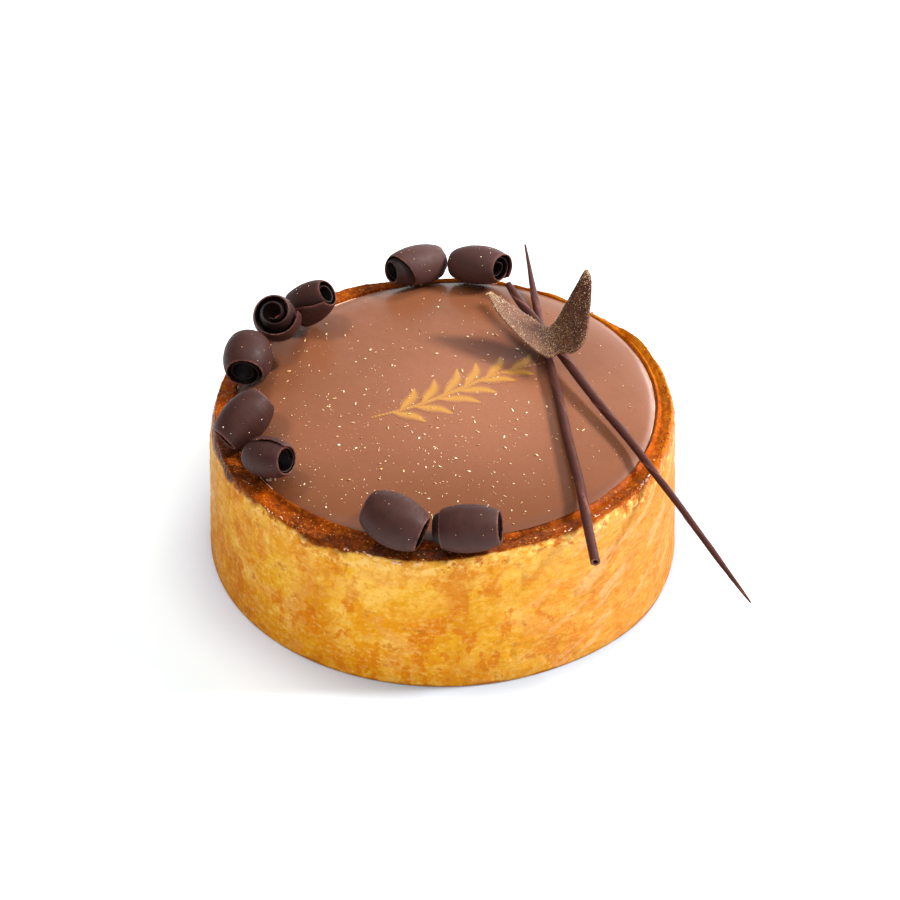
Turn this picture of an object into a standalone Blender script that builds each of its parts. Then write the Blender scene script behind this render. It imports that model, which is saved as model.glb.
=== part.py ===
"""A round chocolate flan in a tall pastry case, with rolled chocolate curls, two sticks and a leaf.

Metres, +Z up. The origin is the centre of the case's flat base. The side shown in the photo faces -Y.
Sizes below are in millimetres and are turned into metres where the meshes are made.
"""
import random
from math import cos, exp, hypot, pi, radians, sin, sqrt

import bmesh
import bpy
from mathutils import Vector

MM = 0.001
GAP = 0.3                 # clear space between touching pieces

# Pastry case: baked in a ring 105 mm across and 35 mm high
WALL_R = 52.7             # at the foot
WALL_LEAN = 0.9           # how much narrower the wall is at the top
FOOT_BULGE = (-34, 18, 0.9)        # angle, half width and size of a swelling at the foot
FOOT_BULGE_H = 16
FOOT_ROUND = (0.4, 0.6)   # width and height of the rounded bottom edge
WALL_LEVELS = (4, 9, 14, 19, 24, 28.5)
WALL_RIPPLES = ((4, 0.08, 0), (9, 0.16, 0.45), (23, 0.12, -0.7))       # count, size, slant
RIPPLE_FADE = 5           # height over which they fade out
RIM_R = 50.9              # the crest of the rounded rim
RIM_DENT = (178, 26, 0.45)         # angle, half width and size of the place where the rim is narrower
RIM_ROUND = ((0, 2.6), (0.35, 0.9))    # steps in from the wall and down from the crest, on the rim's outside
RIM_SLOPE = ((0.75, 0.82), (0.35, 0.5))    # shares of the way out and up from the lip, on the rim's inside
RIM_Z = 35.3              # mean height of the rim, which rises and dips by waves of count, height and angle
RIM_WAVES = ((1, 0.50, -5), (2, 0.65, -38), (4, 0.40, 82), (5, 0.35, 15), (8, 0.20, -120))
RIM_BUMPS = ((29, 6, 1.0), (59, 5, 0.7), (110, 12, 0.35))     # angle, half width, height
LIP_Z = 34.1              # where the glaze meets the slope inside the rim
FLOOR_T = 4.2
MIDDLE_Z = 18             # a level half way down, inside the case
CASE_STEPS = 96

# Glazed filling: a solid round with a rounded edge
GLAZE_R = 46.65
GLAZE_WAVES = ((1, 2.32, 74), (2, 0.70, 77), (3, 0.25, -157), (4, 0.20, -55), (6, 0.17, 150))
GLAZE_TOP = 37.1
GLAZE_FALL = 0.9          # how much lower the glaze is near its edge than at its centre
GLAZE_ROUND = 2.5         # size of the rounded edge
GLAZE_FOOT = 0.3          # the glaze's side starts this far above the lip
GLAZE_RINGS = (0.05, 0.35, 0.9, 1.7, 3, 7, 16, 30)    # distances in from the edge
GLAZE_STEPS = 72

# Gold flakes large enough to see from a step away
FLAKES = 44
FLAKE_SIZE = (0.42, 0.62)
FLAKE_NARROW = (0.5, 0.9)          # width as a share of the length
FLAKE_T = 0.36
FLAKE_SIDES = 7
FLAKE_TOP = 0.8           # how much smaller a flake is on top
FLAKE_STRAY = 2           # how far flakes stray from an even spread
FLAKE_FIELD = 41          # radius of the round they lie in
FLAKE_CLEAR = (1.5, 2.5)  # distance from curls, and from the middle line of a stick

# Chocolate sheet that the curls are rolled from
SHEET_T = 0.45
TIGHTEN = 1.3             # how the roll closes up towards its inner end
CURL_TURNS = 26           # strips along the roll
CURL_BANDS = 5            # strips across it

# at = centre, heading and tilt = where the axis points, turns = wraps, drop = radius lost from the outer end
# to the inner one, seam = angle of the outer end from the top, way = side it rolls to, skew = twist of the
# outer end, barrel = how much the ends narrow, lo and hi = reach along the axis from the outer to the inner
# end, slant and foot = extra reach past hi and past lo, and the angle where it is largest
CURLS = {
    "curl_back_left": dict(
        at=(-6.1, 49.0, 39.7), heading=34, tilt=-9, length=14.0, radius=5.0, turns=1.9, drop=2.0,
        seam=125, way=-1, barrel=0.58, lo=(-0.4, -0.85, -1, -1, -1, -0.9), hi=(0.8, 1, 1, 0.9)),
    "curl_back_right": dict(
        at=(8.2, 47.65, 40.52), heading=-27, tilt=14, length=12.9, radius=5.1, turns=1.9, drop=2.6,
        seam=-160, way=1, barrel=0.55, lo=(-1, -1, -1, -0.9), hi=(1, 1, 0.85, 0.85), slant=(0.12, -90)),
    "curl_left_1": dict(
        at=(-31.0, 31.2, 41.9), heading=-15, tilt=40, length=13.0, radius=5.3, turns=2.3, drop=3.9,
        seam=65, skew=30, way=1, barrel=0.60, lo=(-0.3, -0.5, -0.5, -0.5), hi=(1, 1, 0.95, 0.75)),
    "curl_left_2": dict(
        at=(-37.4, 22.0, 44.9), heading=-103, tilt=52, length=9.5, radius=5.7, turns=2.1, drop=3.2,
        seam=-75, way=-1, barrel=0.50, lo=(-1, -1, -1, -0.9), hi=(0.5, 0.7, 1, 0.95), foot=(0.35, 90)),
    "curl_left_3": dict(
        at=(-43.7, 9.9, 42.5), heading=-95, tilt=-8, length=9.8, radius=6.0, turns=1.5, drop=2.0,
        seam=-175, way=1, barrel=0.42, lo=(-1, -1, -1, -0.9), hi=(1, 1, 1, 1)),
    "curl_left_4": dict(
        at=(-43.5, -11.2, 41.9), heading=40, tilt=28, length=12.8, radius=5.4, turns=1.5, drop=1.3,
        seam=-150, way=-1, barrel=0.66, lo=(-1, -1, -1, -1), hi=(1, 1, 1, 1)),
    "curl_left_5": dict(
        at=(-37.7, -24.1, 41.1), heading=-35, tilt=17, length=10.4, radius=4.7, turns=1.8, drop=1.5,
        seam=-8, skew=-8, way=-1, barrel=0.50, lo=(-0.65, -1, -1, -1), hi=(1, 1, 0.95, 0.9)),
    "curl_front_left": dict(
        at=(-9.9, -46.05, 41.65), heading=-30, tilt=-9, length=13.4, radius=6.1, turns=1.4, drop=1.2,
        seam=-140, way=-1, barrel=0.58, lo=(-1, -1, -1, -1), hi=(1, 1, 1, 1), slant=(0.1, 60)),
    "curl_front_right": dict(
        at=(5.4, -47.2, 40.45), heading=-7, tilt=8, length=14.2, radius=5.4, turns=1.9, drop=1.2,
        seam=-165, way=-1, barrel=0.56, lo=(-0.78, -0.78, -1, -1), hi=(1, 1, 1, 0.95)),
}

# Rolled sticks: thin end, thick end, then radii and sideways bends at shares of the length from the thin end
STICKS = {
    "stick_lower": dict(
        thin=(19.15, 59.5, 38.3), thick=(32.4, -55.9, 38.3), radii=((0, 0.22), (0.03, 0.36), (0.08, 0.50),
        (0.13, 0.70), (0.18, 0.88), (0.36, 0.98), (0.6, 1.1), (1, 1.07)), bends=((0, 0), (0.1, -0.25),
        (0.155, -0.5), (0.21, -0.6), (0.27, -0.6), (0.36, -0.5), (0.5, -0.1), (0.63, -0.05), (0.77, 0.35),
        (0.86, 0.1), (1, 0))),
    "stick_upper": dict(
        thin=(64.9, -64.9, 34.6), thick=(15.0, 38.4, 42.0), radii=((0, 0.2), (0.03, 0.4), (0.07, 0.5),
        (0.13, 0.7), (0.2, 0.71), (0.32, 0.79), (0.45, 0.9), (0.7, 1.05), (0.95, 0.98), (1, 0.8)),
        bends=((0, 0), (0.12, 0.07), (0.2, 0.34), (0.28, 0.49), (0.48, 0.55), (0.55, 0.25), (0.64, -0.25),
        (0.78, 0), (0.87, -0.1), (0.93, -0.55), (0.97, -0.3), (1, 0))),
}
STICK_SIDES = 12
STICK_BORE = (0.5, 3.0)   # share of the thick end's radius, and depth
BORE_NARROWS = 0.8

# Forked leaf: matching points on its lower edge and its inner edge, from the left tip to the right one
LEAF_T = 0.8
LEAF_LOWER = ((10.4, 26.4, 48.2), (12.2, 22.6, 46.2), (17.6, 16.3, 43.2), (23.3, 10.9, 42.0),
              (26.2, 11.6, 42.7), (29.3, 9.3, 44.6), (31.9, 10.8, 47.6), (32.9, 16.9, 51.2),
              (33.3, 21.6, 55.2), (32.5, 22.9, 57.3))
LEAF_INNER = ((10.8, 26.8, 48.2), (13.6, 26.7, 46.2), (18.6, 24.9, 43.6), (23.3, 21.2, 42.6),
              (24.9, 21.3, 43.3), (26.3, 22.1, 45.1), (27.6, 22.2, 48.0), (29.0, 22.1, 51.4),
              (30.6, 22.2, 55.4), (31.7, 22.9, 57.3))
LEAF_PER_SPAN = 2
LEAF_ACROSS = 4


def clear_scene():
    for item in list(bpy.data.objects):
        bpy.data.objects.remove(item, do_unlink=True)


def collection(name):
    found = bpy.data.collections.new(name)
    bpy.context.scene.collection.children.link(found)
    return found


def material(name, colour, roughness):
    made = bpy.data.materials.new(name)
    made.use_nodes = True
    shader = made.node_tree.nodes["Principled BSDF"]
    shader.inputs["Base Color"].default_value = (*colour, 1)
    shader.inputs["Roughness"].default_value = roughness
    return made


def grid_faces(rows, cols, round_rows=False, round_cols=False):
    """Quads over rows x cols points, joined end to end where a direction is round."""
    faces = []
    for i in range(rows if round_rows else rows - 1):
        for j in range(cols if round_cols else cols - 1):
            k, m = (i + 1) % rows, (j + 1) % cols
            faces.append((i * cols + j, k * cols + j, k * cols + m, i * cols + m))
    return faces


def put(name, points, faces, home, mat, location=(0, 0, 0), rotation=(0, 0, 0)):
    """One object from points in millimetres, at a location in millimetres."""
    mesh = bpy.data.meshes.new(name)
    mesh.from_pydata([tuple(c * MM for c in p) for p in points], [], faces)
    mesh.materials.append(mat)
    mesh.update()
    item = bpy.data.objects.new(name, mesh)
    item.location = [c * MM for c in location]
    item.rotation_euler = rotation
    home.objects.link(item)
    return item


def turn_outward(item):
    work = bmesh.new()
    work.from_mesh(item.data)
    bmesh.ops.recalc_face_normals(work, faces=work.faces)
    work.to_mesh(item.data)
    work.free()
    item.data.shade_smooth()


def waves(mean, terms, angle):
    return mean + sum(size * cos(count * angle - radians(at)) for count, size, at in terms)


def bulge(angle, at, width, size):
    """A smooth swelling round one angle."""
    off = (angle - radians(at) + pi) % (2 * pi) - pi
    return size * exp(-(off / radians(width)) ** 2)


def rim_z(angle):
    return waves(RIM_Z, RIM_WAVES, angle) + sum(bulge(angle, *bump) for bump in RIM_BUMPS)


def glaze_r(angle):
    return waves(GLAZE_R, GLAZE_WAVES, angle)


def wall_r(angle, z):
    """The wall leans in a little, and its slanted, layered ripples fade out at the base and at the rim."""
    fade = max(0, min(1, z / RIPPLE_FADE, (RIM_Z - z) / RIPPLE_FADE))
    ripple = sum(size * sin(count * angle + slant * z) for count, size, slant in WALL_RIPPLES)
    swell = bulge(angle, *FOOT_BULGE) * max(0, 1 - z / FOOT_BULGE_H)
    return WALL_R - WALL_LEAN * z / RIM_Z + fade * ripple + swell


def glaze_z(r, angle):
    """Height of the glaze: a low dome with a rounded edge."""
    edge = glaze_r(angle)
    inset = min(1, max(0, (edge - r) / GLAZE_ROUND))
    rounded = (GLAZE_TOP - GLAZE_FALL - LIP_Z) * (1 - sqrt(1 - (1 - inset) ** 2))
    return GLAZE_TOP - GLAZE_FALL * (r / edge) ** 2 - rounded


def crust_section(angle):
    """Radius and height from the base, up the wall, over the rim and down the inside to the floor."""
    top, lip, dent = rim_z(angle), glaze_r(angle) + GAP, bulge(angle, *RIM_DENT)
    wall, crest = WALL_R - WALL_LEAN - dent, RIM_R - dent
    inward, upward = FOOT_ROUND
    section = [(wall_r(angle, 0) - inward, 0), (wall_r(angle, upward), upward)]
    section += [(wall_r(angle, z), z) for z in WALL_LEVELS]
    section += [(wall - inward, top - down) for inward, down in RIM_ROUND]
    section.append((crest, top))
    section += [(lip + (crest - lip) * out, LIP_Z + (top - LIP_Z) * up) for out, up in RIM_SLOPE]
    section += [(lip, LIP_Z), (lip, MIDDLE_Z), (lip, FLOOR_T)]
    return section


def round_solid(name, sections, low, high, home, mat):
    """A closed solid through sections that differ all the way round, with flat discs below and above."""
    rows, cols = len(sections), len(sections[0])
    points, faces = [], grid_faces(rows, cols, round_rows=True)
    for i, section in enumerate(sections):
        angle = 2 * pi * i / rows
        points += [(r * cos(angle), r * sin(angle), z) for r, z in section]
    points += [(0, 0, low), (0, 0, high)]
    for i in range(rows):
        k = (i + 1) % rows
        faces.append((i * cols, rows * cols, k * cols))
        faces.append((i * cols + cols - 1, k * cols + cols - 1, rows * cols + 1))
    item = put(name, points, faces, home, mat)
    turn_outward(item)
    return item


def make_crust(home):
    sections = [crust_section(2 * pi * i / CASE_STEPS) for i in range(CASE_STEPS)]
    return round_solid("crust", sections, 0, FLOOR_T, home, material("crust", (0.75, 0.36, 0.07), 0.6))


def filling_section(angle):
    edge = glaze_r(angle)
    section = [(edge, FLOOR_T + GAP), (edge, MIDDLE_Z), (edge, LIP_Z + GLAZE_FOOT)]
    return section + [(edge - inset, glaze_z(edge - inset, angle)) for inset in GLAZE_RINGS]


def make_filling(home):
    sections = [filling_section(2 * pi * i / GLAZE_STEPS) for i in range(GLAZE_STEPS)]
    milk_chocolate = material("filling", (0.43, 0.18, 0.09), 0.3)
    item = round_solid("filling", sections, FLOOR_T + GAP, GLAZE_TOP, home, milk_chocolate)
    join_flakes(item, home)
    return item


def clear_of_toppings(x, y):
    """True where no curl rests and neither stick passes."""
    for curl in CURLS.values():
        if hypot(x - curl["at"][0], y - curl["at"][1]) < curl["length"] / 2 + FLAKE_CLEAR[0]:
            return False
    for stick in STICKS.values():
        a, b = Vector(stick["thin"][:2]), Vector(stick["thick"][:2])
        along = (b - a).normalized()
        if abs(along.cross(Vector((x, y)) - a)) < FLAKE_CLEAR[1]:
            return False
    return True


def make_flake(draw, x, y, home):
    """One flat flake, wider below, sunk a little into the glaze."""
    work = bmesh.new()
    bmesh.ops.create_cone(work, cap_ends=True, segments=FLAKE_SIDES, radius1=1, radius2=FLAKE_TOP, depth=1)
    mesh = bpy.data.meshes.new("flake")
    work.to_mesh(mesh)
    work.free()
    flake = bpy.data.objects.new("flake", mesh)
    size = draw.uniform(*FLAKE_SIZE)
    flake.scale = (size * MM, size * draw.uniform(*FLAKE_NARROW) * MM, FLAKE_T * MM)
    flake.rotation_euler = (0, 0, draw.uniform(0, pi))
    flake.location = (x * MM, y * MM, glaze_z(hypot(x, y), 0) * MM)
    home.objects.link(flake)


def join_flakes(item, home):
    """Thin flakes spread evenly over the glaze and fused to it by one union."""
    draw = random.Random(7)
    flakes = bpy.data.collections.new("flakes")
    home.children.link(flakes)
    turn = pi * (3 - sqrt(5))
    for i in range(FLAKES * 2):
        r = FLAKE_FIELD * sqrt((i + 0.5) / (FLAKES * 2))
        x = r * cos(i * turn) + draw.uniform(-FLAKE_STRAY, FLAKE_STRAY)
        y = r * sin(i * turn) + draw.uniform(-FLAKE_STRAY, FLAKE_STRAY)
        if len(flakes.objects) < FLAKES and hypot(x, y) < FLAKE_FIELD and clear_of_toppings(x, y):
            make_flake(draw, x, y, flakes)
    union = item.modifiers.new("flakes", "BOOLEAN")
    union.operation, union.operand_type, union.collection = "UNION", "COLLECTION", flakes
    bpy.context.view_layer.update()
    joined = bpy.data.meshes.new_from_object(item.evaluated_get(bpy.context.evaluated_depsgraph_get()))
    item.modifiers.clear()
    item.data = joined
    for flake in list(flakes.objects):
        bpy.data.objects.remove(flake, do_unlink=True)
    bpy.data.collections.remove(flakes)


def between(share, values):
    """A smooth step from one value to the next along a share of 0 to 1."""
    place = share * (len(values) - 1)
    k = min(int(place), len(values) - 2)
    f = place - k
    f = f * f * (3 - 2 * f)
    return values[k] * (1 - f) + values[k + 1] * f


def curl_points(curl):
    """The middle of the rolled sheet, with the roll's axis along X and its top at +Z."""
    extra, side = curl.get("slant", (0, 0))
    down, under = curl.get("foot", (0, 0))
    points = []
    for i in range(CURL_TURNS + 1):
        share = i / CURL_TURNS
        turn = radians(curl["seam"]) + curl["way"] * 2 * pi * curl["turns"] * share
        lo = between(share, curl["lo"]) - down * cos(turn - radians(under))
        hi = between(share, curl["hi"]) + extra * cos(turn - radians(side))
        radius = curl["radius"] - SHEET_T / 2 - curl["drop"] * share ** TIGHTEN
        for j in range(CURL_BANDS + 1):
            along = lo + (hi - lo) * j / CURL_BANDS
            angle = turn + radians(curl.get("skew", 0)) * along * (1 - share)
            r = radius * sqrt(1 - curl["barrel"] * min(1, along * along))
            points.append((along * curl["length"] / 2, -r * sin(angle), r * cos(angle)))
    return points


def make_curl(name, curl, home, mat):
    faces = grid_faces(CURL_TURNS + 1, CURL_BANDS + 1)
    turned = (0, -radians(curl["tilt"]), radians(curl["heading"]))
    item = put(name, curl_points(curl), faces, home, mat, curl["at"], turned)
    sheet = item.modifiers.new("thickness", "SOLIDIFY")
    sheet.thickness, sheet.offset, sheet.use_even_offset = SHEET_T * MM, 0, True
    item.data.shade_smooth()


def table(share, pairs):
    """Straight steps between (share, value) pairs."""
    for (a, low), (b, high) in zip(pairs, pairs[1:]):
        if share <= b:
            return low + (high - low) * (share - a) / (b - a)
    return pairs[-1][1]


def make_stick(name, stick, home, mat):
    """A tapered rod, bent a little from side to side, with a short bore in its thick end."""
    thin, thick = Vector(stick["thin"]), Vector(stick["thick"])
    along = (thick - thin).normalized()
    side = along.cross(Vector((0, 0, 1))).normalized()
    over = side.cross(along)
    shares = sorted({at for at, _ in stick["radii"] + stick["bends"]})
    rings = [(at, table(at, stick["radii"])) for at in shares]
    bore, depth = rings[-1][1] * STICK_BORE[0], STICK_BORE[1] / (thick - thin).length
    rings += [(1, bore), (1 - depth, bore * BORE_NARROWS)]
    points = []
    for at, radius in rings:
        middle = (thick - thin) * at + Vector((table(at, stick["bends"]), 0, 0))
        for j in range(STICK_SIDES):
            turn = 2 * pi * j / STICK_SIDES
            points.append(middle + radius * (cos(turn) * side + sin(turn) * over))
    last = (len(rings) - 1) * STICK_SIDES
    faces = grid_faces(len(rings), STICK_SIDES, round_cols=True)
    faces += [tuple(range(STICK_SIDES)), tuple(range(last, last + STICK_SIDES))]
    turn_outward(put(name, points, faces, home, mat, stick["thin"]))


def through(points, per_span):
    """More points on a smooth curve through the given ones."""
    pts = [Vector(p) for p in points]
    pts = [2 * pts[0] - pts[1]] + pts + [2 * pts[-1] - pts[-2]]
    out = []
    for k in range(1, len(pts) - 2):
        a, b, c, d = pts[k - 1:k + 3]
        for i in range(per_span):
            t = i / per_span
            out.append(0.5 * (2 * b + (c - a) * t + (2 * a - 5 * b + 4 * c - d) * t * t
                              + (3 * b - a - 3 * c + d) * t ** 3))
    return out + [pts[-2]]


def make_leaf(home, mat):
    lower, inner = through(LEAF_LOWER, LEAF_PER_SPAN), through(LEAF_INNER, LEAF_PER_SPAN)
    points = [a.lerp(b, j / LEAF_ACROSS) for a, b in zip(lower, inner) for j in range(LEAF_ACROSS + 1)]
    faces = grid_faces(len(lower), LEAF_ACROSS + 1)
    item = put("leaf", points, faces, home, mat)
    split = bmesh.new()
    split.from_mesh(item.data)
    bmesh.ops.triangulate(split, faces=split.faces)
    split.to_mesh(item.data)
    split.free()
    sheet = item.modifiers.new("thickness", "SOLIDIFY")
    sheet.thickness, sheet.offset, sheet.use_even_offset = LEAF_T * MM, 0, True
    item.data.shade_smooth()


def build():
    clear_scene()
    home = collection("chocolate_flan")
    make_crust(home)
    make_filling(home)
    for name, curl in CURLS.items():
        make_curl(name, curl, home, material(name, (0.055, 0.028, 0.024), 0.45))
    for name, stick in STICKS.items():
        make_stick(name, stick, home, material(name, (0.06, 0.03, 0.025), 0.5))
    make_leaf(home, material("leaf", (0.20, 0.12, 0.07), 0.45))


build()
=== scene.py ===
"""Looks of the chocolate flan: baked case, glaze with gold flakes and a sprig, curls, sticks and a leaf.

Lengths are in millimetres and become metres where a mesh is made. +Z is up, and the photo shows the -Y side.
Angles in the tables are in degrees, from +X round the flan. Three numbers that say where something is are an
angle, a half width in degrees and a size or share there, as bulge() takes them.
"""

import itertools
import random
from math import atan2, cos, exp, hypot, pi, radians, sin, sqrt

import bmesh
import bpy
import numpy as np
from mathutils import Euler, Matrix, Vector


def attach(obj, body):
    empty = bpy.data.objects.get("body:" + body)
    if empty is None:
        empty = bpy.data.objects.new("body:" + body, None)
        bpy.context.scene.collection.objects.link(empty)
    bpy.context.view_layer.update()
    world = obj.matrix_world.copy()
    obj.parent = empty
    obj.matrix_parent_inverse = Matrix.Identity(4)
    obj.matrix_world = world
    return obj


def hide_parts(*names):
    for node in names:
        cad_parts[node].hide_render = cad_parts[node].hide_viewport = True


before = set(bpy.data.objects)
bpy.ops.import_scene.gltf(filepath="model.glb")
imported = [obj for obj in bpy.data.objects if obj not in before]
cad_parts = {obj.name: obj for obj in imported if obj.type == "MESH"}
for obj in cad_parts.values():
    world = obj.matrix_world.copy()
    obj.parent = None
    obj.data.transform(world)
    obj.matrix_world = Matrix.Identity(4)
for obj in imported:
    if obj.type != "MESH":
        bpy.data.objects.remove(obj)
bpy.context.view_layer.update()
MM = 0.001
GAP = 0.3

# Pastry case, with the same values as the solids
WALL_R = 52.7
WALL_LEAN = 0.9
FOOT_BULGE = (-34, 18, 0.9)
FOOT_BULGE_H = 16
FOOT_ROUND = (0.4, 0.6)
WALL_LEVELS = (4, 9, 14, 19, 24, 28.5)
RIM_R = 50.9
RIM_DENT = (178, 26, 0.45)
RIM_ROUND = ((0, 2.6), (0.35, 0.9))
RIM_SLOPE = ((0.75, 0.82), (0.35, 0.5))
RIM_Z = 35.3
RIM_WAVES = ((1, 0.50, -5), (2, 0.65, -38), (4, 0.40, 82), (5, 0.35, 15), (8, 0.20, -120))
RIM_BUMPS = ((29, 6, 1.0), (59, 5, 0.7), (110, 12, 0.35))
LIP_Z = 34.1
FLOOR_T = 4.2
MIDDLE_Z = 18
CASE_STEPS = 700
CASE_SPANS = (2, 7, 10, 10, 10, 10, 9, 9, 5, 5, 5, 7, 6, 4, 1)    # mesh rows between the section's points
OUTER_SPANS = 13          # how many of them lie outside the filling
RELIEF_MOST = (-0.4, 0.3)
TOAST = ((-90, 60, 0.1), (38, 55, 1.3), (178, 34, 1.2))    # how far out the rim's brown goes
GEL_SECTION = ((-0.50, 0, 0.48), (-0.15, 0, 0.66), (0.12, 0.04, 0.56), (0.12, 0.12, 0.36), (0, 0.22, 0.12),
               (0, 0.2, -0.1), (0.1, 0.02, -0.1), (-0.1, 0, 0.2))    # steps out, shares of the slope, lifts
GEL_SHADE = (-5, 45, 0.3)    # where the jelly is painted darker than the rim beside it, as painted shade on its side that faces the key light
GILD = (40, 46, 1.0)        # where the rim's outer half is golden
WALL_PAINTED_SHADE = (12, 48, 1.0)       # where the wall is painted darker, as painted shade where the light falls strongest
WALL_RIGHT_SHADE = (-34, 40, 1.0)      # where it is painted browner, as painted shade against the strong light at the right front
FAR_LEFT = (190, 7, 0.7)    # where it is creamy
STREAK_RISE = 28            # degrees that the long pale streaks at the right rise
BURNT = ((-98, 28, 1.0), (-154, 15, 0.9), (-128, 12, 0.55), (184, 18, 0.65), (-62, 12, 0.6), (-36, 16, 0.6),
         (112, 24, 0.8), (8, 16, 0.25))    # where the rim is baked darker
BAKED = ((-150, 6, 0.9), (-163, 4, 0.5), (-121, 5, 0.5), (-86, 4, 0.4))    # darker patches of the wall

# Glaze
GLAZE_R = 46.65
GLAZE_WAVES = ((1, 2.32, 74), (2, 0.70, 77), (3, 0.25, -157), (4, 0.20, -55), (6, 0.17, 150))
GLAZE_TOP = 37.1
GLAZE_FALL = 0.9
GLAZE_SHOULDER = (1.3, 17)    # how far the edge falls, and how close to the edge (a power of the radius)
GLAZE_STEPS = 360
GLAZE_INSETS = (0.02, 0.08, 0.18, 0.32, 0.5, 0.72, 1.0, 1.35, 1.75, 2.2, 2.7, 3.2)    # rings near the edge
GLAZE_INNER = (4, 45, 0.9)    # the rings further in: from, to and step
GLAZE_MIDDLE = 46             # the inset of the glaze's middle
GLAZE_LAP = ((-125, 32, 0.75), (-57, 30, 1.3), (-66, 10, 0.3))    # where the glaze runs out over the case
GLAZE_THICK = (-60, 28, 0.95)    # where its edge stands higher
GLAZE_MATT_AND_SHADE = (-62, 42, 1.0)    # where its edge is less glossy and painted darker as shade
SHEEN_BORDERS = ((20, 36, 0.6), (120, 14, 0.4))    # where its border has a painted sheen
LIT_SPOT = (9, 3, 25)        # place and size of its paler middle, a painted pool of light
CURL_SHADE_REACH = 3.2              # how far the painted shade on the glaze beside a curl reaches
LEAF_SHADE = (14.5, 20.5, 12, 5.4, -20)    # painted shadow of the leaf on the glaze: place, half length and width, lean
FLAKES = 44
FLAKE_SIZE = (0.42, 0.62)
FLAKE_NARROW = (0.5, 0.9)
FLAKE_STRAY = 2
FLAKE_FIELD = 41
FLAKE_CLEAR = (1.5, 2.5)
FINE_FLAKES = 860
FINE_FIELD = 44
FINE_SIZE = (0.17, 0.6, 0.05, 0.6)    # as drawn_size() takes it, like the three below
SPARSE_FROM, SPARSE = 18, 0.55        # where at the right they are fewer, and their share there
CURL_FLAKES = 8                       # on each curl
CURL_FLAKE_SIZE = (0.1, 0.5, 0.03, 0.24)
LEAF_GRAINS = 3000
LEAF_GRAIN_SIZE = (0.055, 0.45, 0.02, 0.17)

# Sprig printed on the glaze: a bowed stem with paired leaves
SPRIG_STEM = ((-15.5, -4.5), (-6, -0.5), (3, 5), (12.5, 11.5), (25, 16.5))
SPRIG_STEM_WIDTHS = (0.9, 1.7, 2.2, 1.7, 0.9)
SPRIG_LEAVES = 6
SPRIG_LEAF = 10.0
SPRIG_LEAF_WIDTHS = (0.8, 2.8, 3.8, 2.8, 0.7)
SPRIG_SPREAD = 46         # degrees between a leaf and the stem
SPRIG_STEPS = (9, 10.5, 4)    # the first leaf's step on the stem, from pair to pair, and from side to side
SPRIG_BOX = ((-21, 31), (-12, 24))
PRINT_CELL = 0.18
PRINT_LIFT = 0.03
PRINT_DEPTH = 0.1

# Curls. Each has its middle, the heading and tilt of its axis, its length and its largest radius. The
# sheet winds one way for a number of turns, from the seam inwards, while its radius drops. Barrel is how
# much the ends narrow, and skew how far the seam turns along the roll. Lo and hi say where the roll ends
# on either side, as shares of half the length, at even steps of the winding. Foot and slant cut these ends
# askew, by how much and at which angle.
SHEET_T = 0.45
TIGHTEN = 1.3
CURL_TURNS = 150
CURL_BANDS = 26
INNER_COIL = 0.5          # turns that the sheet winds on inside
INNER_TURNS = {"curl_front_left": 0.0, "curl_left_2": 0.25, "curl_left_3": 0.8, "curl_left_4": 0.7}
INNER_RECESS = 0.1        # how far the inner coil's ends lie back, as a share of half the length
INNER_LEAST = 0.45        # smallest radius inside
CURL_SHEEN_FROM = 40       # curls further back than this are painted paler, a painted sheen of the light behind them
RAGGED = 0.18             # how far the ends' ragged edges stray
TORN = (0.10, 14)         # how far in radians the outer edge strays, and how fast that fades along the roll
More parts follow.
